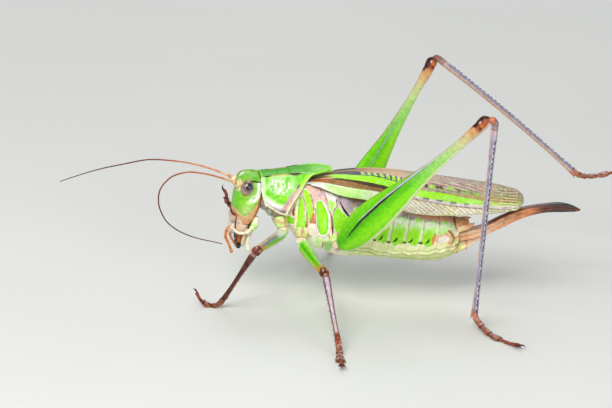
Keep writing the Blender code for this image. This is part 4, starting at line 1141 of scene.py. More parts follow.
def thorax_skin():
    """The thorax's skin: below it is rounded, and above it stands up against the wings."""
    rows, count = 340, 400
    places = np.linspace(NECK_X, 5.85, rows)
    bottom, top, half_width = curve(TRUNK, places).T
    middle = (bottom + top) / 2
    fleshy = between(places, -1.9, 5.3, 1.6)
    wing_root = np.interp(places, [-2.3, -0.3, 1.0, 3.4, 5.9], [16.9, 16.75, 16.5, 15.95, 15.6])
    top = top + (np.maximum(wing_root, top) - top) * fleshy
    power = 2.4 + 3.2 * fleshy
    angle = np.linspace(0, 2 * np.pi, count, endpoint=False)
    s, c = np.sin(angle), np.cos(angle)
    p = np.where(c > 0, power[:, None], 2.4)
    y = half_width[:, None] * np.sign(s) * abs(s) ** (2 / p)
    rise = np.where(c > 0, (top - middle)[:, None], (middle - bottom)[:, None])
    z = middle[:, None] + np.sign(c) * abs(c) ** (2 / p) * rise
    skin = Surface(np.stack([places[:, None] + 0 * y, y, z], -1), True, True, "se")
    depth = SIDE_Y - abs(y)
    skin.a = skin.a + PER_DEPTH[0] * depth
    skin.b = skin.b + PER_DEPTH[1] * depth
    return skin


def thorax():
    """The thorax below the shield and the wings: green plates between pale folds."""
    skin = thorax_skin()
    a, b = skin.a, skin.b
    y = skin.points[..., 1]
    side = step(abs(y) - 1.0, 0.4)
    broad, fine = noise(skin.points, 0.6), noise(skin.points, 0.2, 8)
    # Ground: cream and white, pinkish above, greenish below, grey folds in the neck.
    skin.lay("cream", 0.65 * step(11.8 - b + 0.6 * broad, 1.6))
    skin.lay("white", 0.55 * step(broad + 0.1, 0.7) * step(13.5 - b, 1.5))
    skin.lay("mint", 0.45 * step(9.8 - b, 1.2) * step(noise(skin.points, 0.9, 6) + 0.2, 0.7))
    skin.lay("lilac", 0.45 * step(b - 13.6, 1.2) * step(a - 0.2, 0.8) * step(0.3 - broad, 0.8))
    neck = step(-3.4 - a, 0.8)
    skin.lay("white", 0.8 * neck * step(broad + 0.3, 0.5))
    skin.lay("grey", 0.75 * step(-4.4 - a, 1.0) * step(noise(skin.points, 0.45, 4), 0.5))
    skin.lay("olive", 0.5 * neck * step(noise(skin.points, 0.5, 14) - 0.25, 0.3))
    skin.lift += 0.08 * np.sin(a * 6) * step(-4.0 - a, 0.6)
    for outline, middle, rim in PLATES:
        line = smooth_line(outline + outline[:1], 60)[:-1]
        distance = inside(a, b, line) + 0.5 * skin.wobble
        skin.lay("blush", 0.8 * side * step(distance + 0.34, 0.14))
        skin.lay("white", 0.95 * side * step(distance + 0.20, 0.12))
        skin.lay("mint", side * step(distance + 0.05, 0.08))
        skin.lay(rim, side * step(distance - 0.04, 0.08))
        skin.lay(middle, 0.9 * side * step(distance - 0.16, 0.25))
        skin.lay("mint", 0.35 * side * step(distance - 0.3, 0.2) * step(fine + broad - 0.5, 0.4))
        skin.lift += 0.20 * side * np.clip(distance + 0.25, 0, 0.5) * step(distance + 0.25, 0.2)
    # Folds between the plates: pink and tan beads with dark sutures at their feet.
    def fold(tone, line, width, soft, lift=0.0):
        """A stroke on the side of the body."""
        skin.stroke(tone, line, width, soft, lift, side)

    fold("cream", [(-1.83, 14.5), (-1.66, 12.72), (-1.72, 11.30), (-1.70, 10.5)], 0.22, 0.1, 0.06)
    skin.patch("cream", [(-2.15, 13.9), (-1.85, 14.0), (-1.80, 12.3), (-2.1, 12.2), (-2.5, 12.8)],
               0.15, 0, side)
    fold("brown", [(-1.98, 13.80), (-2.10, 13.30), (-2.12, 12.72), (-2.02, 12.44)],
         [0.12, 0.26, 0.3, 0.14], 0.1, -0.06)
    fold("orange", [(-1.90, 13.9), (-1.95, 13.1), (-1.92, 12.5)], 0.09, 0.08)
    fold("blush", [(-1.22, 16.1), (-1.07, 15.61), (-0.81, 14.46), (-0.50, 13.36), (-0.31, 12.79)],
         0.15, 0.08, 0.04)
    fold("brown", [(-1.0, 15.4), (-0.78, 14.46), (-0.46, 13.36), (-0.31, 12.79)], 0.05, 0.05, -0.04)
    fold("rust", [(-0.37, 12.93), (-0.26, 12.20), (-0.20, 11.49), (-0.27, 10.70), (-0.32, 10.12)],
         [0.10, 0.22, 0.20, 0.16, 0.10], 0.07, -0.10)
    fold("orange", [(-0.16, 12.3), (-0.08, 11.6), (-0.13, 10.9)], 0.08, 0.08)
    fold("tan", [(-0.41, 16.3), (0.04, 15.18), (0.38, 14.04), (0.56, 13.11), (0.55, 12.6)],
         0.15, 0.08, 0.03)
    fold("brown", [(-0.1, 15.5), (0.14, 15.1), (0.46, 14.04), (0.62, 13.2)], 0.05, 0.05, -0.04)
    skin.patch("blush", [(-0.13, 16.6), (0.98, 16.5), (1.02, 14.7), (0.68, 13.9), (0.35, 14.6)],
               0.2, 0.0, side, 0.85)
    skin.patch("orange", [(0.51, 12.95), (0.24, 12.37), (0.10, 11.75), (0.26, 11.42), (1.0, 11.4),
                          (0.98, 12.3)], 0.12, -0.03, side, 0.9)
    skin.spot("rust", (0.78, 12.0), (0.20, 0.45), 0.15, 0.0, side)
    skin.spot("maroon", (0.26, 11.75), (0.14, 0.22), 0.1, -0.05, side)
    fold("cream", [(0.66, 14.51), (0.80, 13.40), (1.03, 12.24)], 0.12, 0.08, 0.04)
    fold("rust", [(0.76, 13.6), (0.92, 12.6), (1.18, 11.5), (1.42, 10.5), (1.5, 10.11)],
         0.07, 0.06, -0.06)
    # A painted highlight: a white line along the raised rim behind the fourth plate.
    fold("white", [(1.80, 14.35), (2.38, 13.32), (2.78, 12.30), (2.89, 11.15), (2.85, 10.23)],
         0.20, 0.08, 0.05)
    fold("blush", [(1.05, 16.4), (1.80, 15.53), (2.20, 14.63), (2.58, 13.44), (2.92, 12.59)],
         0.17, 0.08, 0.04)
    fold("brown", [(1.2, 16.1), (1.86, 15.5), (2.28, 14.63), (2.66, 13.44), (2.96, 12.7)],
         0.07, 0.06, -0.05)
    skin.patch("white", [(1.92, 15.9), (2.79, 15.8), (3.41, 15.09), (3.42, 14.5), (2.5, 14.75),
                         (2.3, 14.9)], 0.2, 0, side, 0.9)
    skin.patch("tan", [(2.0, 16.4), (2.9, 16.1), (2.9, 15.8), (1.9, 16.0)], 0.2, 0, side, 0.7)
    fold("brown", [(3.0, 12.60), (3.10, 11.51), (3.26, 10.52)], 0.09, 0.06, -0.08)
    fold("rust", [(3.04, 12.70), (3.16, 12.2), (3.24, 11.59), (3.33, 10.45), (3.42, 9.9)],
         [0.10, 0.18, 0.26, 0.26, 0.10], 0.07, -0.12)
    fold("maroon", [(3.16, 12.2), (3.22, 11.6), (3.30, 10.8)], [0.05, 0.10, 0.05], 0.05, -0.05)
    fold("orange", [(3.34, 11.4), (3.42, 10.9)], 0.08, 0.07)
    fold("brown", [(3.68, 13.92), (3.32, 13.25), (3.20, 12.6)], 0.10, 0.07, -0.06)
    fold("black", [(3.55, 14.80), (3.68, 13.85)], 0.12, 0.08, -0.03)
    skin.patch("grey", [(3.62, 15.45), (4.23, 15.35), (4.23, 14.6), (3.82, 14.37)], 0.15, 0, side)
    fold("black", [(4.03, 14.45), (4.52, 13.68), (4.95, 13.1), (5.36, 12.6)],
         [0.10, 0.24, 0.32, 0.18], 0.08, -0.10)
    skin.patch("lilac", [(4.25, 15.5), (5.9, 15.4), (6.0, 13.2), (5.40, 13.0), (4.65, 13.94)],
               0.2, 0.06, side, 0.95)
    skin.patch("blush", [(5.3, 15.4), (6.4, 15.3), (6.4, 13.2), (5.7, 13.2)], 0.35, 0, side, 0.9)
    # Around the hips: brown sutures, olive and rust patches, white knobs.
    fold("rust", [(-1.70, 10.2), (-1.52, 9.72), (-0.93, 9.75), (-0.29, 10.05), (0.58, 9.51)],
         [0.14, 0.10, 0.12, 0.18, 0.06], 0.08, -0.06)
    fold("orange", [(-1.3, 9.95), (-0.7, 9.95), (0.2, 9.85)], 0.10, 0.1)
    fold("tan", [(2.80, 9.9), (3.05, 9.5), (3.69, 8.47), (4.03, 7.88)], 0.26, 0.15)
    fold("rust", [(2.92, 9.65), (3.22, 9.30), (3.69, 8.47), (4.03, 7.88)], 0.10, 0.1, -0.06)
    skin.patch("leaf", [(2.35, 8.92), (3.1, 9.0), (3.55, 8.3), (3.3, 7.7), (2.68, 7.59),
                        (2.25, 8.25)], 0.3, 0.04, side, 0.6)
    skin.patch("lime", [(1.2, 9.2), (2.0, 9.3), (2.0, 8.3), (1.4, 8.2)], 0.4, 0.0, side, 0.5)
    fold("rust", [(2.18, 8.8), (2.10, 8.1)], 0.12, 0.12, -0.04)
    skin.spot("white", (3.80, 9.75), (0.26, 0.40), 0.12, 0.10, side)
    fold("white", [(4.1, 9.3), (4.30, 8.6), (4.27, 8.11)], 0.34, 0.15, 0.06)
    skin.spot("orange", (4.62, 8.05), (0.25, 0.3), 0.15, 0.0, side)
    skin.lift += 0.012 * fine + 0.03 * broad * step(11.0 - b, 1.0)
    piece("thorax", [skin], "pale_skin", ["prothorax", "mesothorax", "metathorax"])


# Where the abdomen's rings begin and end along x.
RINGS = (5.9, 7.05, 9.2, 11.35, 13.5, 15.65, 17.8, 19.6, 21.1)


def abdomen():
    """The abdomen: green rings with pink tops, a cream fold along the side, a cream belly."""
    skin = barrel(TRUNK, 5.75, 21.05, 560, 320, 2.15)
    x, y, z = np.moveaxis(skin.points, -1, 0)
    # Its hind end narrows and the last rings ride up over each other.
    close = np.clip((x - 19.4) / 1.65, 0, 1) ** 2
    skin.points[..., 2] += close * (9.6 - z) * 0.18
    skin.points[..., 1] *= 1 - 0.12 * close
    x, y, z = np.moveaxis(skin.points, -1, 0)
    side = step(abs(y) - 0.8, 0.5)
    slanted = x - 0.13 * (z - 11.0) + 0.05 * noise(skin.points, 1.2, 3)
    index = np.clip(np.searchsorted(RINGS, slanted), 1, len(RINGS) - 1)
    low, high = np.array(RINGS)[index - 1], np.array(RINGS)[index]
    to_hind = high - slanted
    share = (slanted - low) / (high - low)
    grain = noise(skin.points * (1, 1, 0.35), 0.40, 2)
    broad, fine = noise(skin.points, 0.8, 5), noise(skin.points, 0.2, 8)
    plate_low = np.interp(x, [6, 9, 12, 16, 19, 21], [9.0, 8.80, 8.55, 8.45, 8.7, 9.2])
    plate_low = plate_low + 0.20 * np.cos(share * np.pi * 2)
    on_plate = step(z - plate_low, 0.15)
    top = np.interp(x, [6, 9, 12, 15, 18, 21], [13.9, 13.1, 12.55, 12.35, 11.9, 11.3])
    top = top + 0.25 * np.sin(share * np.pi)
    # Each ring swells a little behind its front edge and steps down at its hind edge.
    bulge = np.where(x > 17.3, 0.20, 0.11)
    inside_ring = np.clip(share, 0, 1)
    skin.lift += (bulge * np.sqrt(inside_ring) - bulge * step(0.06 - to_hind, 0.08)) * on_plate
    skin.lift += 0.05 * np.sin(np.pi * inside_ring) * on_plate
    skin.lay("lime", 0.95 * on_plate)
    skin.lay("green", 0.25 * on_plate * bell(share - 0.45, 0.25) * step(11.6 - z, 1.6))
    skin.lay("mint", 0.85 * on_plate * bell(z - top + 0.85, 0.55) * step(grain + 0.7, 1.4))
    skin.lay("white", 0.80 * on_plate * bell(z - top + 0.50, 0.40) * step(grain + broad + 0.2, 1.0))
    skin.lay("mint", 0.80 * on_plate * step(0.50 - to_hind, 0.35) * step(z - 9.4, 0.8))
    skin.lay("lilac", 0.90 * on_plate * step(z - top + 0.20 * grain, 0.35))
    skin.lay("blush", 0.75 * on_plate * step(z - top - 0.4 + 0.3 * grain, 0.4))
    skin.lay("brown", 0.45 * on_plate * step(z - top, 0.3) * step(broad + grain - 0.25, 0.3))
    skin.lay("white", 0.6 * on_plate * bell(to_hind - 0.22, 0.08))
    skin.lay("blush", 0.85 * on_plate * bell(to_hind - 0.10, 0.06))
    skin.lay("brown", 0.55 * on_plate * bell(to_hind - 0.01, 0.04))
    # Hind rings: orange-brown slashes between cream and green patches.
    hindmost = step(x - 17.0, 0.6)
    skin.lay("butter", 0.9 * hindmost * step(10.1 + 0.45 * (x - 17) * 0.3 - z + 0.3 * broad, 0.4))
    skin.lay("mint", 0.6 * hindmost * on_plate * step(fine + broad, 0.6) * step(11.6 - z, 0.4))
    skin.stroke("orange", [(17.30, 10.5), (17.2, 9.8), (17.1, 9.0)], [0.3, 0.6, 0.3], 0.25, 0, side)
    skin.patch("peach", [(17.15, 10.3), (18.3, 10.35), (19.3, 10.75), (20.15, 9.7), (19.4, 8.7),
                         (17.1, 8.65)], 0.30, 0.04, side, 0.75)
    skin.patch("white", [(17.75, 10.0), (19.0, 10.25), (19.6, 9.7), (19.1, 9.2), (17.8, 9.1)],
               0.35, 0.03, side, 0.85)
    skin.patch("butter", [(17.3, 9.1), (19.2, 9.2), (19.9, 8.6), (19.3, 7.7), (17.4, 7.9)],
               0.25, 0.05, side, 0.85)
    skin.stroke("brown", [(19.15, 11.0), (19.75, 10.35), (20.2, 9.65), (19.9, 9.1), (19.2, 8.75)],
                [0.10, 0.16, 0.20, 0.26, 0.12], 0.10, -0.05, side)
    skin.stroke("orange", [(19.45, 10.95), (20.0, 10.3), (20.4, 9.7)],
                [0.1, 0.2, 0.2], 0.12, 0, side)
    skin.patch("white", [(20.05, 10.9), (20.85, 11.1), (20.95, 9.9), (20.5, 9.75)], 0.15, 0.05,
               side, 0.9)
    skin.stroke("orange", [(20.35, 9.65), (20.75, 9.55), (20.98, 9.9), (20.95, 11.0)],
                0.16, 0.12, 0, side)
    skin.stroke("tan", [(19.3, 8.9), (20.0, 9.0), (20.9, 9.2)], [0.3, 0.4, 0.4], 0.2, 0.04, side)
    seam = np.interp(x, [13, 16, 18.5, 21], [13.5, 12.75, 12.45, 11.95])
    skin.lay("peach", 0.95 * on_plate * bell(z - seam, 0.28) * step(x - 14.5, 2.0) * side)
    # The lower edge of each plate: white, with a dark dot and a black stroke on five of them.
    low_rim = step(plate_low + 0.55 - z + 0.25 * grain, 0.35) * step(18.5 - x, 1)
    skin.lay("butter", 0.95 * on_plate * low_rim)
    skin.lay("white", 0.5 * on_plate * low_rim * step(fine, 0.6))
    for dot, start, end in (
        ((6.9, 9.6), (7.4, 9.65), (7.9, 10.3)),
        ((9.0, 9.5), (9.55, 9.55), (10.0, 10.2)),
        ((11.0, 9.25), (11.45, 9.33), (12.1, 10.0)),
        ((13.15, 9.27), (13.6, 9.35), (14.2, 9.85)),
        ((15.38, 9.25), (15.98, 9.26), (16.55, 9.84)),
    ):
        skin.spot("brown", (dot[0] - 0.1, dot[1] + 0.03), (0.32, 0.15), 0.14, 0.0, side, 0.9)
        skin.spot("black", dot, (0.20, 0.11), 0.10, -0.02, side)
        middle = ((start[0] + end[0]) / 2 + 0.05, (start[1] + end[1]) / 2 - 0.12)
        skin.stroke("black", [start, middle, end], [0.08, 0.27, 0.12], 0.08, -0.03, side)
    # Soft wavy folds below the plates, and the belly plates.
    wave = 0.12 * np.cos(2 * np.pi * share) + 0.10 * broad
    below = 1 - on_plate
    skin.lay("butter", below)
    skin.lay("cream", 0.5 * below * step(broad + 0.1, 0.8))
    skin.lay("lime", 0.25 * below * step(broad - 0.1, 0.6) * step(z - 6.9, 0.6))
    at_fold = np.interp(x, [7.8, 9.4, 11.5, 13.4, 16.5, 20], [8.46, 8.03, 7.63, 7.64, 7.75, 8.3])
    at_edge = np.interp(x, [7.9, 9.5, 11.5, 16, 20], [7.90, 7.45, 7.10, 7.05, 7.6])
    for height, depth in ((at_fold, 0.22), (at_edge, 0.18)):
        fold = z - height - wave
        skin.lift += depth * below * bell(fold - 0.10, 0.20)
        skin.lift -= 0.8 * depth * below * bell(fold + 0.20, 0.12)
        # Painted shade: olive in the groove under each fold. Painted highlight: white along each
        # fold's crest.
        skin.lay("olive", 0.75 * below * bell(fold + 0.20, 0.09))
        skin.lay("white", 0.45 * below * bell(fold - 0.10, 0.12))
    skin.lay("olive", 0.30 * below * step(7.0 - z, 0.5) * step(broad + 0.3, 0.8))
    skin.lift -= 0.06 * below * bell(to_hind - 0.1, 0.08)
    skin.lay("tan", 0.5 * below * bell(to_hind - 0.1, 0.05) * step(z - 7.4, 0.2))
    skin.lay("orange", 0.5 * below * blob(x, z, (19.6, 8.6), (0.35, 0.4)))
    skin.lift += 0.012 * fine + 0.02 * grain * on_plate
    lengths = ["abdomen_front", "abdomen_middle", "abdomen_rear"]
    piece("abdomen", [skin], "green_skin", lengths)


# --- Tail end ------------------------------------------------------------------------------


OVIPOSITOR = [  # x, lower edge, seam between the blades, upper edge, half width
    (21.25, 8.75, 9.40, 10.05, 1.05),
    (22.60, 9.00, 9.70, 10.45, 0.95),
    (24.10, 9.38, 10.10, 10.83, 0.75),
    (27.10, 10.70, 11.55, 12.42, 0.55),
    (29.65, 12.05, 12.80, 13.55, 0.50),
    (32.45, 12.92, 13.55, 14.15, 0.45),
    (35.80, 13.18, 13.75, 14.34, 0.40),
    (37.10, 13.25, 13.58, 13.95, 0.30),
    (37.85, 13.38, 13.48, 13.60, 0.12),
]


def ovipositor(name, lower):
    """One of the two pairs of blades: pale at the root, amber along its length, black-red tip."""
    stations = [
        (x, low, seam + 0.03, half) if lower else (x, seam - 0.03, top, half)
        for x, low, seam, top, half in OVIPOSITOR
    ]
    blade = barrel(stations, 21.25, 37.85, 340, 72, 4.0)
    x, _, z = np.moveaxis(blade.points, -1, 0)
    bottom, top, _ = np.moveaxis(curve(stations, x), -1, 0)
    height = (z - bottom) / (top - bottom)
    streak = noise(blade.points * (0.2, 1, 1), 0.16, 3)
    blade.lay("orange", 0.9)
    blade.lay("peach", 0.85 * step(27.5 - x, 5.0))
    blade.lay("blush", 0.6 * step(26.5 - x, 4.0) * step(streak + 0.2, 0.6))
    blade.lay("cream", 0.5 * step(25.0 - x, 3.5) * step(streak - 0.05, 0.5))
    blade.lay("tan", 0.4 * step(28.5 - x, 4.0) * step(-streak, 0.5))
    blade.lay("rust", 0.55 * step(x - 26.5, 5.0) * step(streak + 0.1, 0.7))
    if lower:
        blade.lay("peach", 0.8 * step(31.0 - x, 4.0) * bell(height - 0.30, 0.22))
        blade.lay("cream", 0.5 * step(30.5 - x, 4.0) * bell(height - 0.88, 0.10) * step(x - 22, 1))
    else:
        blade.lay("peach", 0.5 * step(31.5 - x, 4.0) * bell(height - 0.40, 0.18))
        blade.lay("rust", 0.85 * step(height - 0.74, 0.14) * step(x - 24.0, 4.0))
        blade.lay("maroon", 0.6 * step(height - 0.84, 0.10) * step(x - 27.0, 4.0))
    blade.lay("maroon", 0.9 * step(x - 31.4 + 1.2 * (0.5 - height if lower else height - 0.5), 2.6))
    blade.lay("black", 0.9 * step(x - 33.4, 2.4))
    blade.lay("rust", 0.7 * step(x - 37.2, 0.6))
    blade.lay("rust", 0.5 * step(x - 33.0, 2.0) * bell(height - (0.80 if lower else 0.2), 0.12))
    blade.lift += 0.03 * bell(height - 0.62, 0.10) * step(x - 22.4, 1.0)
    blade.lift += 0.004 * streak
    if lower:  # the fine teeth under the tip
        blade.lift += 0.03 * np.sin(x * 16) * step(x - 35.2, 0.6) * step(0.12 - height, 0.1)
    piece(name, [blade], "blade")


def tail():
    """What closes the abdomen: the plate above with its two points, the cerci, the plate below."""
    flap = barrel([(20.4, 10.6, 12.0, 1.75), (21.4, 10.75, 11.85, 1.35), (22.1, 10.95, 11.7, 0.8),
                   (22.5, 11.15, 11.6, 0.35)], 20.4, 22.5, 60, 60)
    flap.lay("blush", 0.5)
    flap.lay("peach", 0.8)
    flap.lay("orange", 0.35 + 0.35 * noise(flap.points, 0.4))
    low = bell(flap.points[..., 2] - 11.1, 0.2)
    flap.lay("cream", 0.6 * low * step(noise(flap.points, 0.3), 0.5))
    flap.lift += 0.03 * noise(flap.points, 0.3, 3)
    piece("epiproct", [flap], "cream_skin")
    for side in (LEFT, RIGHT):
        knots = [(20.7, side * 1.62, 10.75), (21.6, side * 1.75, 11.05), (22.4, side * 1.60, 11.33),
                 (23.05, side * 1.28, 11.58)]
        cone = pipe(knots, [0.46, 0.44, 0.40, 0.28, 0.05], 80, 32)
        cone.lay("peach", 0.9)
        cone.lay("orange", 0.45 * step(noise(cone.points, 0.4), 0.8))
        cone.lay("cream", 0.5 * step(0.4 - cone.share, 0.4))
        cone.lay("cream", 0.4 * step(noise(cone.points, 0.3, 5) - 0.2, 0.3))
        cone.lay("brown", 0.8 * step(cone.share - 0.93, 0.06))
        cone.lift += 0.015 * noise(cone.points, 0.12)
        piece(f"cercus_{SIDES[side]}", [cone], "cream_skin")
    stations = [
        (19.6, 6.75, 8.35, 2.1),
        (20.9, 7.10, 8.60, 1.95),
        (22.1, 7.60, 8.90, 1.60),
        (23.3, 8.25, 9.20, 1.15),
        (24.0, 8.75, 9.35, 0.75),
        (24.4, 9.05, 9.35, 0.35),
    ]
    plate = barrel(stations, 19.6, 24.4, 120, 72)
    x, y, z = np.moveaxis(plate.points, -1, 0)
    broad = noise(plate.points, 0.6)
    plate.lay("butter", 0.6)
    plate.lay("white", 0.3 * step(broad, 0.6))
    plate.lay("tan", 0.5 * step(noise(plate.points, 0.5, 4) - 0.1, 0.5))
    plate.lay("lime", 0.25 * step(21.6 - x, 1.0))
    plate.lay("blush", 0.6 * step(x - 22.0, 1.5) * step(z - 8.4, 0.5))
    for at in (20.9, 22.15):
        behind = x - at - 0.1 * (z - 8)
        plate.lay("orange", 0.8 * bell(behind, 0.09))
        plate.lift -= 0.10 * bell(behind - 0.06, 0.07)
        plate.lift += 0.06 * bell(behind + 0.15, 0.15)
    plate.lift += 0.06 * bell(abs(y) - 0.8, 0.25) * step(x - 20.5, 0.5)
    plate.lift += 0.02 * broad
    piece("subgenital_plate", [plate], "cream_skin")


# --- Wings ---------------------------------------------------------------------------------

WING = [  # x, top, shoulder half width, front-margin half width, front-margin height
    (-1.60, 16.78, 2.00, 2.20, 16.85),
    (-0.30, 16.95, 2.20, 2.70, 16.82),
    (1.00, 17.22, 2.45, 3.25, 16.62),
    (2.20, 17.48, 2.56, 3.52, 16.18),
    (3.40, 17.72, 2.65, 3.70, 15.75),
    (7.70, 18.24, 2.80, 4.00, 15.05),
    (12.60, 18.18, 2.70, 4.05, 13.75),
    (15.90, 17.92, 2.55, 3.90, 13.32),
    (19.60, 17.55, 2.25, 3.60, 13.25),
    (23.00, 17.20, 1.90, 3.10, 13.40),
    (27.20, 16.50, 1.40, 2.45, 13.72),
    (28.90, 15.95, 1.05, 1.85, 14.08),
    (29.50, 15.40, 0.62, 1.10, 14.55),
]
OVERLAP_STEP = 0.66  # what the right wing's back drops further where the left one covers it
BACK_SHARE = 0.42  # of the wing's width, how much lies flat on the back
WING_THICKNESS = 0.12


def wing_points(x, v, side):
    """A wing case: it lies on the back up to its shoulder and hangs down the side from there."""
    top, shoulder, margin, bottom = np.moveaxis(curve(WING, x), -1, 0)
    crossing = np.clip((shoulder - 0.7) / 1.3, 0, 1)
    lower = 0.0 if side == LEFT else 0.40
    overlap = OVERLAP_STEP * np.interp(x, [-1.6, 2.0, 6.0], [0.22, 0.35, 1.0])
    drop = lower if side == LEFT else lower + overlap * np.minimum(crossing / 0.25, 1)
    inner = 0.1 - (0.1 + 0.45 * shoulder) * crossing
    t = v / BACK_SHARE
    y_back = inner + (shoulder - inner) * t
    z_back = top - drop * (1 - np.maximum(0, (t - 0.65) / 0.35) ** 2) - 0.22 * t**3
    z_back = z_back - lower * np.maximum(0, (t - 0.65) / 0.35) ** 2
    z_back = z_back - 0.34 * np.maximum(0, 1 - v / 0.24) ** 1.4 * crossing
    t = np.clip((v - BACK_SHARE) / (1 - BACK_SHARE), 0, 1)
    y_front = shoulder + (margin - shoulder) * np.sin(t * np.pi / 2)
    z_front = top - 0.22 + (bottom - top + 0.22) * t - lower * (1 - t)
    on_back = v < BACK_SHARE
    return np.stack([x, side * np.where(on_back, y_back, y_front),
                     np.where(on_back, z_back, z_front)], -1)


# The wing's long veins, as places (x, share of the width from the inner edge).
VEINS = {
    "ochre_low": [(-0.6, 0.30), (0.4, 0.40), (1.7, 0.535), (4, 0.65), (6.7, 0.715), (9, 0.725),
                  (14, 0.755), (18, 0.80), (23, 0.885), (28, 0.935)],
    "ochre_high": [(-0.6, 0.24), (0.4, 0.28), (1.8, 0.345), (4, 0.46), (5.6, 0.535), (7.5, 0.62),
                   (9.7, 0.65), (14, 0.72), (18, 0.77), (23, 0.845), (28, 0.90)],
    "green_low": [(-0.6, 0.22), (0.8, 0.25), (1.8, 0.30), (3.4, 0.385), (6.5, 0.51), (10.8, 0.61),
                  (14.2, 0.695), (18, 0.735), (23, 0.80), (28, 0.84)],
    "green_high": [(-0.6, 0.15), (1.5, 0.185), (2.9, 0.215), (6, 0.345), (8.5, 0.415),
                   (11.4, 0.495), (14, 0.575), (18, 0.605), (23, 0.70), (28, 0.76)],
    "band_high": [(-0.6, 0.08), (1.5, 0.135), (4.3, 0.16), (6.2, 0.19), (6.9, 0.235), (9.3, 0.30),
                  (11.7, 0.385), (15, 0.47), (19, 0.50), (23, 0.57), (28, 0.66)],
}


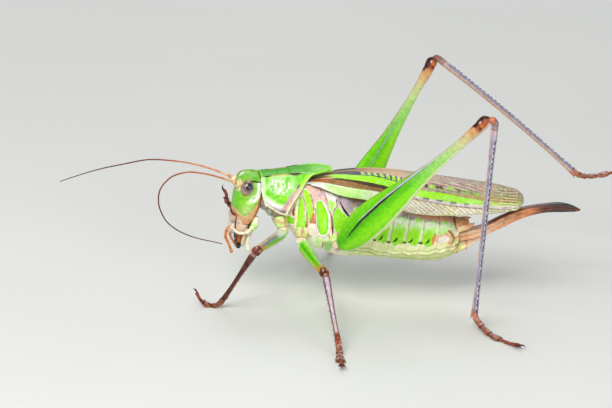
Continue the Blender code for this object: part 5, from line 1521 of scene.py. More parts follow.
def tegmen(side):
    """A wing case with its veins in relief and the bands that run from the root to the tip."""
    rows, count = 470, 230
    x = -1.6 + 31.1 * np.linspace(0, 1, rows)[:, None] * np.ones(count)
    v = np.linspace(0, 1, count)[None] * np.ones((rows, 1))
    wing = Surface(wing_points(x, v, side), False, side == RIGHT)
    if side == RIGHT:  # the covered wing shows its bands further down its side
        v = v - 0.17 * np.sin(np.pi * v)
    # Draw in millimetres along the wing and across it.
    across = np.interp(x, [0, 3, 12, 20, 27, 29.5], [4.0, 6.6, 8.6, 7.2, 5.0, 2.2])
    edge = {name: curve(line, x)[..., 0] for name, line in VEINS.items()}
    soft = 0.010
    flat = np.stack([x, v * across, 0 * x], -1)
    slow, fine = noise(flat, 1.4, 1), noise(flat, 0.25, 2)
    streak = noise(flat * (0.22, 1, 1), 0.22, 3)
    root, far = step(2.6 - x, 1.6), step(x - 13.0, 3.0)
    tip = step(x - 24.0 + slow, 4.0)
    back = step(edge["band_high"] - v, soft)
    # Back: reddish brown near the root, grey-brown with many pale lengthwise veins behind.
    wing.lay("brown", 0.55 * back * step(7.0 - x, 6.0))
    wing.lay("blush", 0.30 * back * between(x, 8.0, 15.0, 3.0))
    wing.lay("lilac", 0.40 * step(0.60 - v, 0.05) * far)
    wing.lay("grey", 0.45 * step(0.60 - v, 0.05) * far * step(slow + 0.5, 0.9))
    wing.lay("olive", 0.40 * back * bell(v - edge["band_high"] + 0.05, 0.03) * step(8 - x, 4))
    fan = v * across - 0.045 * (x - 8) + 0.05 * slow
    pale = lines(fan, 0.40, 0.10) * step(0.60 - v, 0.03) * step(x - 9.0, 4.0)
    wing.lay("cream", 0.75 * pale * step(streak + 0.5, 0.5))
    dark = lines(fan + 0.16, 0.40, 0.09) * step(0.60 - v, 0.03) * step(x - 8.0, 4.0)
    wing.lay("brown", 0.60 * dark * step(streak + 0.3, 0.5))
    wing.lift += 0.022 * pale
    ladder = lines(x + v * across * 1.6 + 0.2 * slow, 0.62, 0.08) * back
    wing.lay("cream", 0.35 * ladder * step(x - 10.0, 4.0))
    wing.lift += 0.010 * ladder
    # The blue-black band, then a row of pale windows between dark cells.
    band = between(v, edge["band_high"], edge["green_high"], soft)
    share = (v - edge["band_high"]) / np.maximum(edge["green_high"] - edge["band_high"], 0.01)
    wing.lay("slate", 0.97 * band * step(13.5 - x, 1.5) * step(x - 1.0, 1.5))
    wing.lay("black", 0.6 * band * step(streak + 0.1, 0.4) * step(13.5 - x, 1.5) * step(x - 2, 1.5))
    rungs = lines(x + fine * 0.1, 0.29, 0.06)
    wing.lay("white", 0.4 * band * rungs * between(x, 6.8, 13, 0.4))
    for at in (7.05, 7.85, 8.65, 9.48, 10.30, 11.05, 11.75, 12.4):
        half = 0.13 + 0.15 * np.clip(share, 0, 1)
        window = step(half - abs(x - at - 0.10 * (share - 0.5)), 0.06)
        window = window * between(share, 0.14, 0.86, 0.06)
        wing.lay("lime" if at < 12 else "mint", 0.97 * window)
        wing.lay("cream", 0.6 * window * step(0.45 - share, 0.2))
    hair = bell((v - edge["band_high"] - 0.006) * across, 0.06)
    wing.lay("lilac", 0.7 * hair * between(x, 6.5, 14.0, 1.0))
    hair = bell((v - edge["green_high"]) * across, 0.07)
    wing.lay("black", 0.8 * hair * between(x, 2.5, 13.0, 1.0))
    # The distal row of green and dark spots.
    row = np.interp(x, [13, 16, 19, 23, 26], [0.50, 0.515, 0.515, 0.60, 0.66])
    for at, tone in ((13.6, "lime"), (14.75, "lime"), (15.5, "black"), (16.35, "lime"),
                     (17.1, "brown"), (17.6, "black"), (18.9, "lime"), (20.06, "brown"),
                     (21.2, "green"), (22.55, "lime"), (24.0, "olive")):
        near = np.hypot((x - at) / (0.36 if tone == "lime" else 0.26), (v - row) * across / 0.22)
        wing.lay(tone, 0.9 * step(1 - near, 0.4))
    wing.lay("olive", 0.35 * between(v, 0.52, edge["green_high"], 0.02) * far)
    # The lime stripe along the whole wing.
    stripe = between(v, edge["green_high"], edge["green_low"], soft)
    wing.lay("lime", 0.98 * stripe * step(x - 1.8, 1.0) * (1 - 0.55 * tip))
    wing.lay("mint", 0.35 * stripe * step(fine - 0.25, 0.4) + 0.3 * stripe * step(x - 21, 5))
    blurred = between(v, edge["green_high"], edge["green_low"], 0.03)
    wing.lay("cream", 0.6 * blurred * step(2.6 - x, 1.2))
    # Ochre stripe between two black lines, with a fine dark line along its middle.
    amber = between(v, edge["ochre_high"], edge["ochre_low"], soft)
    wing.lay("ochre", 0.97 * amber * (1 - 0.4 * tip))
    middle = (edge["ochre_high"] + edge["ochre_low"]) / 2
    wing.lay("brown", 0.7 * bell((v - middle) * across, 0.05) * (1 - far))
    wing.lay("grey", 0.7 * amber * far)
    wing.lay("white", 0.6 * amber * far * bell((v - edge["ochre_high"] - 0.01) * across, 0.07))
    gap = between(v, edge["green_low"], edge["ochre_high"], soft)
    wing.lay("black", 0.9 * gap * (1 - far) * step(x - 1.2, 0.8))
    wing.lay("white", 0.75 * gap * far)
    dash = step(np.sin(x * 3.3 + 0.6) - 0.1, 0.3) * step(21.5 - x, 0.8) * far
    wing.lay("slate", 0.95 * dash * bell((v - edge["green_low"] - 0.005) * across, 0.13))
    for tone, strength, vein, wide, start, end, blur in (
        ("black", 0.95, "ochre_high", 0.085, 0.6, 13.5, 1.5),
        ("black", 0.95, "ochre_low", 0.085, 1.0, 13.5, 1.5),
        ("rust", 0.8, "ochre_low", 0.09, 0.3, 2.8, 0.8),
    ):
        hair = bell((v - edge[vein]) * across, wide)
        wing.lay(tone, strength * hair * between(x, start, end, blur))
    # Front field: mint with a white root, cream with slanting dark veins further back.
    front = step(v - edge["ochre_low"] - 0.012, 0.012)
    wing.lay("mint", 0.97 * front)
    wing.lay("lime", 0.35 * front * step(7.5 - x, 5.0) * step(slow + fine * 0.5, 0.6))
    wing.lay("white", 0.85 * front * step(2.0 - x, 1.4))
    hair = bell((v - edge["ochre_low"] - 0.03) * across, 0.12)
    wing.lay("white", 0.8 * front * hair * step(5 - x, 3))
    wing.lay("cream", 0.9 * front * step(x - 8.0, 4.0))
    wing.lay("white", 0.55 * front * step(x - 7.5, 3.0) * step(slow + 0.3, 0.8))
    wing.lay("blush", 0.35 * front * step(x - 9.0, 3.0) * step(streak, 0.5))
    slant = x - (v - 0.9) * across * 1.45 + 0.12 * slow
    rib = lines(slant, 0.74, 0.13) * front * step(x - 5.0, 2.0)
    shallow = 0.22 + 0.78 * step(x - 10.0, 2.5)
    wing.lay("brown", 0.95 * rib * shallow * step(27.5 - x, 3.0))
    wing.lay("maroon", 0.8 * rib * step(x - 10.5, 2.0) * step(20.0 - x, 5.0))
    wing.lift += 0.020 * rib
    speck = lines(x - (v - 0.9) * across * 0.4, 0.36, 0.06) * front * step(9.0 - x, 2.0)
    wing.lay("white", 0.6 * speck * step(fine, 0.5))
    wing.lift += 0.010 * speck
    rim = step(v - 0.972, 0.01)
    wing.lay("rust", 0.9 * rim * step(13 - x, 3.0) * step(x - 0.5, 1.0))
    wing.lay("cream", 0.8 * rim * far)
    wing.lay("olive", 0.5 * rim * step(x - 17, 6))
    # Root: a fan of tan, orange and dark streaks.
    wing.lay("orange", 0.75 * root * step(0.46 - v, 0.06) * step(v - 0.10, 0.05))
    for at, tone, wide in ((0.20, "cream", 0.16), (0.25, "brown", 0.09), (0.31, "blush", 0.14),
                           (0.36, "rust", 0.09)):
        line = at + 0.035 * (x - 0.8)
        wing.lay(tone, 0.85 * bell((v - line) * across, wide) * step(2.9 - x, 1.2))
    line = np.interp(x, [-0.6, 0.0, 1.2], [0.36, 0.42, 0.56])
    wing.lay("white", 0.9 * bell((v - line) * across, 0.13) * step(1.6 - x, 0.8))
    # The tip: olive and beige with veins that fan out.
    wing.lay("olive", 0.30 * tip * step(slow + 0.2, 1.0))
    spread = lines((v - 0.62) * across + 0.10 * (x - 24) * np.sign(v - 0.62), 0.34, 0.09)
    wing.lay("brown", 0.6 * tip * spread)
    wing.lay("cream", 0.6 * tip * lines((v - 0.62) * across + 0.17, 0.34, 0.08))
    net = cells(x / 2.6, v * across, 0.30, 4)
    mesh = step(0.10 - net, 0.10) * step(x - 13.5, 3.0)
    wing.lay("brown", 0.35 * mesh * (1 - 0.8 * stripe))
    wing.lift += 0.010 * mesh
    for line in edge.values():
        wing.lift += 0.040 * bell((v - line) * across, 0.07)
    wing.lift += 0.006 * fine
    wing.lift *= between(v, 0.02, 0.975, 0.03) * step(28.6 - x, 1.2)
    wing.lift += 0.03 * step(v - 0.975, 0.01) * step(28.0 - x, 2.0)
    piece(f"forewing_{SIDES[side]}", [wing], "wing", thickness=WING_THICKNESS)


def hind_wing(side):
    """The folded fan under a wing case: a pleated strip beside the midline."""
    rows, count = 150, 48
    places = np.linspace(7.5, 28.4, rows)
    top, shoulder, _, _ = curve(WING, places).T
    half = np.maximum(0.25, 0.36 * shoulder)
    centres = np.column_stack([places, side * (half + 0.08), top - OVERLAP_STEP - 1.0])
    points = ovals(centres, Y_AXIS, Z_AXIS, half, 0 * half + 0.24, count, 2.6)
    fan = Surface(points, True, True, "se")
    pleat = np.sin(fan.points[..., 1] * 16)
    fan.lift += 0.05 * pleat
    fan.lay("cream", 0.6)
    # Painted shade: brown in the valleys of the pleats.
    fan.lay("brown", 0.4 * step(-pleat - 0.5, 0.4))
    piece(f"hindwing_{SIDES[side]}", [fan], "wing")


# --- Legs ----------------------------------------------------------------------------------

FOOT_RISE = 0.26  # height of a standing foot's centre line
# Both ends of each hip piece, the knee, the shin's end and the points of the foot. A hind shin
# hangs beyond the end of its thigh, from shin_top.
LEGS = {
    "foreleg_left": {
        "hip": [(-3.7, -1.7, 12.0), (-3.2, -2.75, 9.9)],
        "knee": (-8.05, -10.2, 9.5),
        "ankle": (-11.0, -5.6, 1.45),
        "foot": [(-11.9, -5.0, FOOT_RISE), (-13.1, -4.7, FOOT_RISE), (-14.0, -4.6, 0.9),
                 (-14.6, -4.5, 1.9)],
    },
    "midleg_left": {
        "hip": [(-0.6, -2.2, 10.6), (-0.85, -3.5, 8.75)],
        "knee": (1.0, -13.1, 7.6),
        "ankle": (1.75, -22.1, 1.25),
        "foot": [(1.75, -23.3, FOOT_RISE), (1.5, -25.4, FOOT_RISE), (1.3, -27.1, 0.5),
                 (1.1, -28.8, 0.8)],
    },
    "hindleg_left": {
        "hip": [(3.9, -2.4, 9.9), (4.2, -4.05, 8.5)],
        "knee": (19.6, -18.3, 30.7),
        "shin_top": (20.3, -18.5, 30.45),
        "ankle": (21.65, -11.9, 1.9),
        "foot": [(22.7, -13.3, 0.75), (23.8, -15.3, FOOT_RISE), (25.0, -17.3, FOOT_RISE),
                 (26.3, -19.5, 0.6)],
    },
    "foreleg_right": {
        "hip": [(-3.7, 1.7, 12.0), (-3.2, 2.75, 9.9)],
        "knee": (-1.9, 11.0, 12.3),
        "ankle": (-8.7, 5.0, 10.3),
        "foot": [(-9.2, 4.9, 11.0), (-10.0, 5.0, 11.9), (-10.15, 5.0, 12.8), (-10.5, 5.1, 13.4)],
    },
    "midleg_right": {
        "hip": [(-0.5, 2.2, 10.6), (-0.6, 3.5, 8.9)],
        "knee": (3.3, 12.1, 8.2),
        "ankle": (7.3, 19.5, 1.25),
        "foot": [(7.9, 20.5, FOOT_RISE), (8.9, 22.3, FOOT_RISE), (9.7, 23.8, 0.5),
                 (10.5, 25.4, 0.8)],
    },
    "hindleg_right": {
        "hip": [(4.5, 2.4, 9.9), (5.3, 4.05, 8.5)],
        "knee": (20.1, 19.6, 29.1),
        "shin_top": (20.5, 19.7, 29.2),
        "ankle": (43.6, 24.4, 11.5),
        "foot": [(45.0, 24.7, 11.2), (47.2, 25.0, 11.3), (49.3, 25.4, 11.7), (51.7, 25.8, 12.5)],
    },
}
SLIM_THIGH = [  # share of the length, height above and below the axis, half width
    (0.00, 0.52, 0.52, 0.48), (0.05, 0.72, 0.75, 0.60), (0.25, 0.85, 0.88, 0.66),
    (0.60, 0.74, 0.74, 0.58), (0.85, 0.60, 0.60, 0.52), (0.95, 0.66, 0.62, 0.56),
    (1.00, 0.60, 0.56, 0.52),
]
HIND_THIGH = [
    (0.00, 0.80, 0.85, 0.65), (0.03, 1.25, 1.20, 0.85), (0.10, 2.00, 1.85, 1.10),
    (0.22, 2.40, 2.15, 1.22), (0.38, 1.90, 1.70, 1.02), (0.52, 1.22, 1.12, 0.78),
    (0.66, 0.80, 0.74, 0.62), (0.82, 0.62, 0.58, 0.54), (0.93, 0.80, 0.68, 0.62),
    (0.975, 0.92, 0.66, 0.62), (1.00, 0.74, 0.58, 0.55),
]
FOOT = [  # share of the way, half width, half height
    (0.00, 0.34, 0.32), (0.06, 0.40, 0.36), (0.13, 0.44, 0.36), (0.185, 0.50, 0.34),
    (0.20, 0.34, 0.27), (0.26, 0.44, 0.34), (0.34, 0.52, 0.33), (0.365, 0.56, 0.31),
    (0.38, 0.34, 0.26), (0.44, 0.52, 0.33), (0.53, 0.70, 0.33), (0.575, 0.66, 0.28),
    (0.60, 0.28, 0.24), (0.70, 0.23, 0.21), (0.85, 0.24, 0.22), (0.94, 0.32, 0.27),
    (1.00, 0.26, 0.22),
]


def unit(vector):
    """The vector at length 1."""
    return np.asarray(vector, float) / np.linalg.norm(vector)


class Leg:
    """The axes of a leg: thigh and shin swing in the plane square to the hinge."""

    def __init__(self, name):
        places = LEGS[name]
        self.name = name
        self.kind, side = name.split("_")
        self.side = LEFT if side == "left" else RIGHT
        self.hip_start, self.hip = (np.array(p, float) for p in places["hip"])
        self.knee, self.ankle = np.array(places["knee"]), np.array(places["ankle"])
        self.shin_top = np.array(places.get("shin_top", places["knee"]))
        self.foot_knots = [np.array(p, float) for p in places["foot"]]
        self.hinge = unit(np.cross(self.knee - self.hip, self.ankle - self.knee))
        if self.hinge[1] * self.side < 0:  # the hinge axis points away from the body
            self.hinge = -self.hinge

    def outer_edge(self, forward, inward):
        """The direction square to a limb, in its plane, on the side away from inward."""
        outer = unit(np.cross(self.hinge, forward))
        return -outer if outer @ inward > 0 else outer

    def limb(self, start, end, stations, rows, count, outer, power, rounded, bow=0.0):
        """A thigh or a shin, with angle 0 on its outer edge and 90 on its face away."""
        share = crowded(rows)
        above, below, half_width = curve(stations, share).T
        length = np.linalg.norm(end - start)
        shrink = domed(share, length, *rounded)
        lean = (above - below) / 2 + bow * np.sin(np.pi * share)
        centres = start + (end - start) * share[:, None] + outer * lean[:, None]
        half_height = (above + below) / 2
        points = ovals(centres, self.hinge[None], outer[None], half_width * shrink,
                       half_height * shrink, count, power)
        along_cross = np.cross(end - start, self.hinge) @ outer
        made = Surface(points, True, along_cross < 0, "se")
        made.share = np.broadcast_to(share[:, None], (rows, count))
        angle = np.linspace(0, 360, count, endpoint=False)
        made.angle = np.broadcast_to(np.where(angle > 180, angle - 360, angle), (rows, count))
        made.length = length
        made.height = (points - centres[:, None]) @ outer
        return made


def hip(leg):
    """The hip piece: a cone that ends in a dark ring and the pale collar that holds the thigh."""
    size = 1.10 if leg.kind == "hindleg" else 0.93
    way = leg.hip - leg.hip_start
    profile = (0.85, 0.98, 1.02, 1.0, 0.94, 0.84, 0.76, 0.77, 0.80, 0.76, 0.62)
    knots = [leg.hip_start, leg.hip_start + way * 0.45, leg.hip_start + way * 0.8,
             leg.hip + way * 0.14]
    cone = pipe(knots, [size * factor for factor in profile], 150, 72, rounded=(0.3, 0.4))
    share = cone.share
    fine, broad = noise(cone.points, 0.35, 4), noise(cone.points, 0.7, 3)
    cone.lay("lime", 0.6 * step(noise(cone.points, 0.9) + 0.1, 0.6))
    cone.lay("mint", 0.6 * step(noise(cone.points, 0.6, 8) - 0.1, 0.5))
    cone.lay("blush", 0.5 * step(broad - 0.1, 0.4))
    cone.lay("orange", 0.45 * step(noise(cone.points, 0.5, 9) - 0.35, 0.3))
    cone.lay("tan", 0.7 * bell(share - 0.60 + 0.02 * fine, 0.05))
    cone.lay("rust", 0.8 * bell(share - 0.63 + 0.015 * broad, 0.018), -0.05)
    cone.lay("white", 0.75 * step(share - 0.67, 0.04))
    cone.lay("mint", 0.5 * step(share - 0.70, 0.04) * step(fine, 0.6))
    cone.lay("tan", 0.5 * step(share - 0.67, 0.04) * step(broad - 0.1, 0.4))
    cone.lay("rust", 0.5 * step(share - 0.96, 0.04))
    for turn in (0.0, 2.1, 4.2):  # seams that run down the cone
        around = np.cos(np.radians(cone.angle) - turn)
        seam = step(around - 0.985, 0.02) * step(0.58 - share, 0.1)
        cone.lay("rust", 0.5 * seam, -0.05)
    cone.lift += 0.02 * fine
    piece(f"{leg.name}_coxa", [cone], "cream_skin")


def thigh(leg):
    """A thigh: swollen in a hind leg, slim in the others."""
    forward = unit(leg.knee - leg.hip)
    outer = leg.outer_edge(forward, leg.ankle - leg.knee)
    hind = leg.kind == "hindleg"
    start, end = leg.hip + forward * 0.02, leg.knee + forward * 0.10
    rows, count = (560, 150) if hind else (240, 90)
    rounded = (1.1, 0.8) if hind else (0.6, 0.55)
    table = HIND_THIGH if hind else SLIM_THIGH
    made = leg.limb(start, end, table, rows, count, outer, 2.2, rounded)
    t, angle = made.share, made.angle
    fine = noise(made.points, 0.4, 2)
    if hind:
        hind_thigh_marks(made, t, angle, fine)
    else:
        slim_thigh_marks(leg, made, t, angle, fine)
    piece(f"{leg.name}_femur", [made], "thigh")


def hind_thigh_marks(made, t, angle, fine):
    """Green, with a toothed black line under a blue-grey one on the face away from the body."""
    away, high = abs(angle), made.height
    outside = step(angle, 10)
    inside_face = 1 - outside
    slow = noise(made.points * 0.5, 0.9, 7)
    thin = step(t - 0.60, 0.22)
    made.lay("leaf", 0.65 * step(90 - away, 30))
    made.lay("deep", 0.45 * bell(high - 0.55, 0.45) * step(0.55 - t, 0.2) * step(100 - away, 20))
    # The lower part of the face is a paler lime, lightened further by a painted highlight.
    made.lay("lime", 0.45 * bell(away - 122, 22) * step(0.62 - t, 0.3))
    made.lay("lime", 0.35 * bell(away - 20, 18) * step(0.5 - t, 0.3))
    made.lay("olive", 0.55 * thin)
    made.lay("mint", 0.35 * thin * step(slow, 0.8))
    made.lay("lime", 0.5 * inside_face * between(away, 70, 130, 20) * step(0.6 - t, 0.3))
    # Fine slanting ribs like a herring's bones, above the line and weaker below it.
    ribs = np.sin(2 * np.pi * (t * made.length / 0.42 + away / 30))
    rib_zone = between(away, 16, 74, 12) * between(t, 0.05, 0.5, 0.08)
    made.lift += 0.014 * ribs * rib_zone
    made.lay("lime", 0.28 * rib_zone * step(ribs - 0.3, 0.6))
    ribs = np.sin(2 * np.pi * (t * made.length / 0.42 - away / 30))
    rib_zone = between(away, 98, 140, 12) * between(t, 0.08, 0.5, 0.08)
    made.lift += 0.010 * ribs * rib_zone
    made.lay("lime", 0.18 * rib_zone * step(ribs - 0.3, 0.6))
    # The line follows the middle ridge of the face, just above the axis.
    line = np.interp(t, [0.06, 0.10, 0.13, 0.21, 0.27, 0.33, 0.40, 0.55, 0.68, 0.76],
                     [0.25, 0.42, 0.58, 0.90, 0.93, 0.98, 0.93, 0.72, 0.52, 0.45])
    from_line = high - line
    made.lift += 0.035 * bell(from_line - 0.1, 0.16) * between(t, 0.06, 0.7, 0.08)
    blue = np.interp(t, [0.15, 0.22, 0.36, 0.48, 0.62, 0.72, 0.78],
                     [0, 0.10, 0.19, 0.25, 0.22, 0.14, 0])
    near = step(blue / 2 - abs(from_line - 0.13 - blue / 2 + 0.08), 0.06)
    made.lay("mist", 0.95 * near * outside)
    made.lay("white", 0.55 * bell(from_line - 0.16, 0.05) * outside * between(t, 0.2, 0.68, 0.06))
    made.lay("mist", 0.7 * step(0.10 - abs(from_line + 0.1), 0.08) * inside_face
             * between(t, 0.12, 0.6, 0.1))
    teeth = np.abs((t * made.length / 0.33) % 1 - 0.5) * 2
    core = np.interp(t, [0.075, 0.12, 0.2, 0.34, 0.42, 0.50], [0, 0.13, 0.23, 0.22, 0.11, 0])
    above = core * 0.5 - from_line
    below = from_line + core * (0.55 + 0.9 * teeth)
    made.lay("black", step(np.minimum(above, below), 0.05) * (core > 0) * outside)
    made.lay("slate", 0.8 * step(0.045 - abs(from_line - 0.02), 0.05) * outside
             * between(t, 0.40, 0.66, 0.06))
    made.lay("leaf", 0.6 * bell(from_line + 0.42, 0.2) * between(t, 0.1, 0.5, 0.08))
    # Keels: cream along the lower edge, thin and brownish along the upper one.
    edge = np.interp(t, [0, 0.1, 0.19, 0.4, 0.6, 0.9], [168, 156, 148, 144, 134, 124])
    made.lay("cream", 0.95 * step(away - edge, 7) * step(0.90 - t, 0.06))
    made.lay("mint", 0.6 * bell(away - edge, 5) * step(0.90 - t, 0.06))
    made.lift += 0.05 * bell(away - edge - 4, 5) * step(0.88 - t, 0.1)
    made.lift += 0.05 * bell(180 - away, 6) * step(0.9 - t, 0.1)
    dots = step(np.sin(t * made.length * 9) - 0.1, 0.6)
    made.lay("white", 0.7 * step(away - edge - 2, 8) * inside_face * dots * step(0.8 - t, 0.1))
    for tone, strength, widths, soft in (("tan", 0.7, [6, 30], 8), ("brown", 0.5, [3, 14], 4)):
        width = np.interp(t, [0.42, 0.9], widths)
        made.lay(tone, strength * step(width - away, soft) * step(t - 0.42, 0.1))
    # Towards the knee the green fades to a pinkish grey-brown.
    made.lay("mint", 0.35 * step(t - 0.60, 0.3))
    made.lay("blush", 0.50 * step(t - 0.78 + 0.03 * slow, 0.26))
    made.lay("tan", 0.35 * step(t - 0.80, 0.2) * step(100 - away, 40))
    # The knee: tan, then dark above with orange-brown sides and a paler, pinkish lower lobe.
    made.lay("tan", 0.75 * step(t - 0.855 + 0.02 * fine, 0.07) * step(150 - away, 40))
    made.lay("orange", 0.35 * step(t - 0.885 + 0.02 * fine, 0.04) * step(110 - away, 40))
    made.lay("maroon", step(t - 0.900 - 0.0004 * away + 0.012 * fine, 0.025) * step(72 - away, 24))
    made.lay("rust", 0.9 * step(t - 0.925, 0.03) * between(away, 66, 128, 20))
    made.lay("blush", 0.7 * step(t - 0.93, 0.03) * step(away - 122, 14))
    made.lay("orange", 0.8 * blob(t, away, (0.958, 96), (0.012, 20)))
    made.lay("maroon", 0.8 * blob(t, away, (0.945, 100), (0.006, 16)))
    # A painted highlight: a small white glint on the knee.
    made.lay("white", 0.75 * blob(t, away, (0.962, 62), (0.006, 9)))
    made.lift += 0.10 * blob(t, away, (0.955, 100), (0.03, 34))
    made.lift -= 0.05 * bell(t - 0.93 - 0.0002 * away, 0.006) * step(t - 0.9, 0.02)
    made.lift += 0.02 * fine * step(t - 0.9, 0.05)


def slim_thigh_marks(leg, made, t, angle, fine):
    """Green between cream edges, with a grey-blue stripe that widens towards a dark knee."""
    fore = leg.kind == "foreleg"
    away = abs(angle)
    streak = noise(made.points, 0.4, 6)
    if fore:
        made.lay("leaf", 0.4 * step(away - 120, 20))
        made.lay("tan", 0.85 * between(angle, -100, -46, 14))
        made.lay("blush", 0.75 * between(angle, -54, -8, 16))
        worn = step(t - 0.3, 0.2) * step(streak, 0.5)
        made.lay("brown", 0.35 * between(angle, -48, -8, 16) * worn)
        made.lay("grey", 0.9 * between(angle, -12, 34, 14) * step(t - 0.26, 0.2))
        made.lay("slate", 0.35 * between(angle, -8, 28, 14) * step(t - 0.35, 0.3))
        made.lay("cream", 0.85 * between(angle, 76, 116, 14))
        made.lay("tan", 0.5 * between(angle, 92, 116, 14))
        made.lay("white", 0.8 * step(0.32 - t + 0.03 * streak, 0.2) * between(angle, -60, 48, 30))
        made.lay("tan", 0.4 * step(0.30 - t, 0.2) * between(angle, -60, 0, 30) * step(streak, 0.5))
    else:
        made.lay("leaf", 0.5 * step(away - 150, 20))
        made.lay("tan", 0.8 * between(angle, 112, 142, 14))
        made.lay("lime", 0.5 * bell(angle - 96, 12))
        made.lay("deep", 0.75 * bell(angle - 66, 15) * between(t, 0.08, 0.80, 0.12))
        made.lay("lime", 0.5 * bell(angle - 38, 9) * step(0.7 - t, 0.2))
        made.lay("mint", 0.6 * between(angle, -45, 26, 14))
        made.lay("grey", 0.8 * between(angle, -42, 26, 14) * step(t - 0.42 + 0.05 * streak, 0.3))
        worn = step(t - 0.5, 0.3) * step(streak, 0.5)
        made.lay("lilac", 0.4 * between(angle, -20, 20, 14) * worn)
        made.lay("tan", 0.7 * between(angle, -78, -42, 14))
    made.lay("mint", 0.8 * step(0.11 - t, 0.08))
    made.lay("cream", 0.7 * step(0.05 - t, 0.05))
    edge = bell(angle - (60 if fore else 92), 26) + bell(angle + 50, 16)
    made.lay("orange", 0.65 * step(t - 0.68, 0.2) * edge)
    made.lay("orange", 0.6 * step(t - 0.82 + 0.02 * fine, 0.06))
    made.lay("rust", 0.95 * step(t - 0.88 + 0.02 * fine, 0.05))
    made.lay("maroon", 0.85 * step(t - 0.91, 0.04) * step(fine + 0.4, 0.6))
    for place in (-18, 46):
        made.lay("blush", 0.9 * blob(t, angle, (0.958, place), (0.012, 15)))
    made.lift += 0.04 * bell(angle - 34, 8) + 0.03 * bell(away - 110, 10)
    made.lift += 0.08 * blob(t, away, (0.95, 90), (0.035, 40))
    made.lift += 0.01 * fine


SHINS = {  # radius along the shin; spines in a row; their length
    "foreleg": ([(0, 0.42), (0.05, 0.46), (0.12, 0.50), (0.22, 0.46), (0.32, 0.40), (0.9, 0.36),
                 (1, 0.42)], 7, 0.34),
    "midleg": ([(0, 0.42), (0.08, 0.47), (0.3, 0.39), (0.9, 0.36), (1, 0.42)], 9, 0.34),
    "hindleg": ([(0, 0.44), (0.05, 0.45), (0.15, 0.40), (0.5, 0.37), (0.9, 0.38), (1, 0.48)],
                34, 0.34),
}


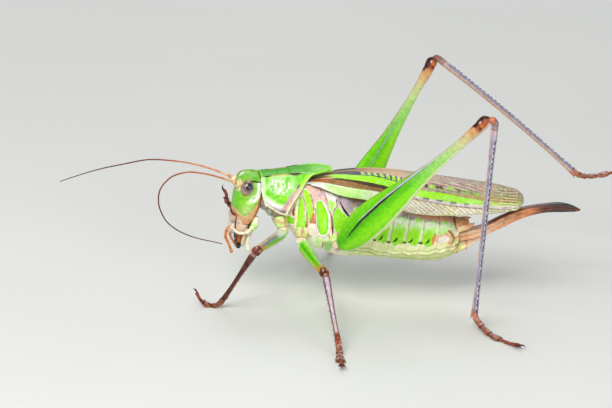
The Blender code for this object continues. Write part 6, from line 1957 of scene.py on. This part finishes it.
def shin(leg):
    """A shin: square in section, spined in rows, with the spurs at its end."""
    forward = unit(leg.ankle - leg.shin_top)
    outer = leg.outer_edge(forward, leg.hip - leg.knee)
    hind = leg.kind == "hindleg"
    stations, spines, length = SHINS[leg.kind]
    start, end = leg.shin_top - forward * 0.12, leg.ankle + forward * 0.10
    shape = [(share, r, r, r * 0.95) for share, r in stations]
    bow = 0.3 if leg.name == "hindleg_right" else 0.0
    made = leg.limb(start, end, shape, 520 if hind else 260, 56, outer, 2.6 if hind else 2.3,
                    (0.42, 0.4), bow)
    t, angle, away = made.share, made.angle, abs(made.angle)
    fine = noise(made.points, 0.3, 4)
    streak = noise(made.points * (1, 1, 0.3), 0.3, 6)
    parts = [made]
    spots = "black" if hind else "maroon"
    if hind:
        # Angle 0 is the rear edge with its black spines, 180 the smooth pinkish front edge.
        made.lay("lilac", 0.35 * step(streak + 0.1, 0.6))
        made.lay("slate", 0.45 * bell(away - 88, 22) * step(streak + 0.3, 0.7))
        made.lay("white", 0.35 * bell(away - 60, 9))
        made.lay("blush", 0.9 * step(away - 122, 12))
        made.lay("tan", 0.6 * step(away - 136, 12))
        made.lay("orange", 0.5 * bell(away - 126, 8) * step(fine + 0.3, 0.6))
        made.lay("brown", 0.35 * step(20 - away, 12))
        made.lay("brown", 0.6 * step(0.030 - t, 0.03))
        made.lay("blush", 0.45 * bell(t - 0.05, 0.02))
        made.lay("rust", 0.6 * bell(t - 0.038, 0.006) + 0.5 * step(t - 0.955, 0.03))
        made.lay("orange", 0.7 * step(t - 0.965, 0.02) * step(fine + 0.3, 0.5))
    elif leg.kind == "midleg":
        facing = abs(angle - 31) if leg.side == LEFT else abs(away - 31)
        made.lay("rust", 0.9 - 0.3 * fine)
        made.lay("brown", 0.5 * step(streak, 0.5))
        made.lay("lilac", 0.95 * step(40 - facing, 12) * between(t, 0.07, 0.84, 0.05))
        made.lay("white", 0.4 * step(16 - facing, 14) * between(t, 0.1, 0.80, 0.08))
        face = step(40 - facing, 12)
        made.lay("mist", 0.5 * face * step(streak, 0.6) * between(t, 0.1, 0.8, 0.1))
        made.lay("blush", 0.4 * face * step(t - 0.66, 0.1) * step(0.86 - t, 0.04))
        made.lay("orange", 0.5 * step(t - 0.86, 0.06) * step(fine, 0.5))
        made.lay("blush", 0.8 * blob(t, facing, (0.03, 8), (0.014, 24)))
    else:
        made.lay("rust", 0.3 * step(fine, 0.6))
        made.lay("brown", 0.4 * step(streak - 0.1, 0.5))
        made.lay("grey", 0.35 * bell(away - 70, 20) * step(streak, 0.6))
        made.lay("blush", 0.8 * blob(t, away, (0.04, 30), (0.014, 26)))
        # The ear: a slit below the knee on each face.
        made.lift -= 0.08 * blob(t, away, (0.14, 70), (0.045, 9))
        made.lay("black", 0.8 * blob(t, away, (0.14, 70), (0.045, 7)))
    if not hind:
        made.lay("maroon", 0.6 * step(0.012 - t, 0.012))
    if hind:  # the short neck that turns in the knee
        inner = leg.knee - unit(leg.knee - leg.hip) * 0.35
        middle = (leg.knee + leg.shin_top) / 2 + outer * 0.10
        neck = pipe([inner, middle, leg.shin_top + forward * 0.55],
                    [0.34, 0.42, 0.44, 0.40, 0.34], 50, 30, rounded=(0.2, 0.2))
        neck.lay("rust", 0.75)
        neck.lay("orange", 0.5 * step(noise(neck.points, 0.3) + 0.1, 0.5))
        parts.append(neck)
    made.lift += 0.03 * bell(away - 45, 7) + 0.03 * bell(away - 135, 7)
    made.lift += 0.008 * fine
    def outward(degrees):
        """The direction away from the shin, turned round it from its outer edge."""
        turned_by = math.radians(degrees)
        return outer * math.cos(turned_by) + leg.hinge * math.sin(turned_by)

    axis = end - start
    rows = (46, -46) if hind else (138, -138)
    first, last = (0.10, 0.955) if hind else (0.24, 0.93)
    for degrees in rows:
        out = outward(degrees)
        for i in range(spines):
            share = first + (last - first) * (i + 0.15 * math.sin(i * 2.3)) / (spines - 1)
            radius = curve(stations, np.array(share))[0]
            centre = start + axis * share + outer * bow * math.sin(math.pi * share)
            root = centre + out * radius * 0.93
            way = out + forward * (1.1 if hind else 0.7)
            parts.append(spine(root, way, length, 0.06 if hind else 0.045, spots, start=0.1))
            distance = np.hypot((t - share - 0.1 / made.length) * made.length / 0.26,
                                (angle - degrees) / 17)
            made.lay(spots, 0.9 * step(1 - distance, 0.4))
    for degrees in (40, -40, 140, -140):
        out = outward(degrees)
        root = end - forward * 0.30 + out * 0.34
        size = (0.75 if abs(degrees) < 90 else 0.55) if hind else 0.42
        parts.append(spine(root, out * 0.7 + forward, size, 0.085, "maroon", start=0.5))
    piece(f"{leg.name}_tibia", parts, "dark_shin" if leg.kind == "foreleg" else "shin")


def foot(leg):
    """Padded joints, the third one bilobed, the last slim and arched, and two curved claws."""
    standing = any(knot[2] == FOOT_RISE for knot in leg.foot_knots)
    shin_way = unit(leg.ankle - leg.shin_top)
    knots = [leg.ankle + shin_way * 0.02] + leg.foot_knots
    rows, count = 300, 56
    share = np.linspace(0, 1, rows)
    path = smooth_line(knots, share)
    stretch = 0.88 if leg.kind == "foreleg" else 1.0  # a short last joint
    half_width, half_height = curve(FOOT, share * stretch).T
    scale = {"foreleg": 1.06, "midleg": 0.98, "hindleg": 1.0}[leg.kind]
    length = np.linalg.norm(np.diff(path, axis=0), axis=1).sum()
    scale = scale * domed(share, length, 0.3, 0.22)
    up = (-1, 0, 0.2) if leg.name == "foreleg_right" else (0, 0, 1)
    forward, across, high = frames_along(path, up)
    points = ovals(path, across, high, half_width * scale, half_height * scale, count, 2.4)
    made = Surface(points, True, False, "se")
    made.share = np.broadcast_to(share[:, None], (rows, count))
    angle = np.linspace(0, 360, count, endpoint=False)
    away = np.broadcast_to(np.where(angle > 180, 360 - angle, angle), (rows, count))
    t, fine = made.share * stretch, noise(points, 0.22, 5)
    # Lobes: the joints spread sideways just before they end, and the third one is cleft.
    for at, size in ((0.175, 0.08), (0.355, 0.10), (0.55, 0.14)):
        made.lift += size * bell((t - at) / 0.022, 1) * bell((away - 105) / 34, 1)
    made.lift -= 0.16 * bell(t - 0.58, 0.02) * bell(away, 26)
    dark = leg.kind == "foreleg"
    made.lay("brown", 0.55 + 0.3 * fine)
    made.lay("blush", (0.25 if dark else 0.40) * step(fine + 0.1, 0.6) * step(100 - away, 40))
    made.lay("orange", (0.2 if dark else 0.5) * step(noise(points, 0.35, 8) - 0.05, 0.5))
    # A painted highlight: lilac on the tops of the padded joints, where the light falls.
    made.lay("lilac", 0.45 * step(34 - away, 20) * step(0.6 - t, 0.02) * step(fine + 0.2, 0.6))
    made.lay("tan", 0.5 * step(away - 130, 20))
    made.lay("maroon", 0.7 * bell(away - 70, 14) * step(fine - 0.05, 0.4))
    made.lay("brown", (0.6 if dark else 0.2) * step(noise(points, 0.5, 12) + 0.2, 0.6))
    for at in (0.195, 0.378, 0.595):
        made.lay("maroon", 0.9 * bell(t - at, 0.012), -0.02)
    made.lay("rust", 0.7 * step(t - 0.62, 0.04))
    made.lay("maroon", 0.7 * step(t - 0.90, 0.08))
    made.lift += 0.025 * fine
    parts = [made]
    tip, way, out, top = path[-1], forward[-1], across[-1], high[-1]
    for turn in (-1, 1):
        claw = [
            tip - way * 0.16 + out * turn * 0.10,
            tip + way * 0.14 + out * turn * 0.24 + top * 0.08,
            tip + way * 0.40 + out * turn * 0.40,
            tip + way * 0.58 + out * turn * 0.46 - top * 0.20,
        ]
        hook = pipe(claw, [0.12, 0.105, 0.07, 0.012], 18, 12)
        hook.lay("black", 0.9 * step(hook.share - 0.25, 0.4))
        parts.append(hook)
    if standing:
        for part in parts:
            floor_part(part)
    piece(f"{leg.name}_tarsus", parts, "foot")


def floor_part(part):
    """Bakes a surface's relief and flattens what would be under the floor."""
    part.points = part.pressed()
    part.points[..., 2] = np.maximum(part.points[..., 2], 0.0)
    part.lift = np.zeros(part.lift.shape)


# --- Assembly ------------------------------------------------------------------------------


def main():
    """Builds the studio and every piece of the animal."""
    camera()
    studio()
    head()
    labrum()
    labium()
    for side in (LEFT, RIGHT):
        eye(side)
        mandible(side)
        palps(side)
        antenna(side)
        tegmen(side)
        hind_wing(side)
    pronotum()
    thorax()
    abdomen()
    ovipositor("ovipositor_upper", lower=False)
    ovipositor("ovipositor_lower", lower=True)
    tail()
    for name in LEGS:
        leg = Leg(name)
        hip(leg)
        thigh(leg)
        shin(leg)
        foot(leg)


main()
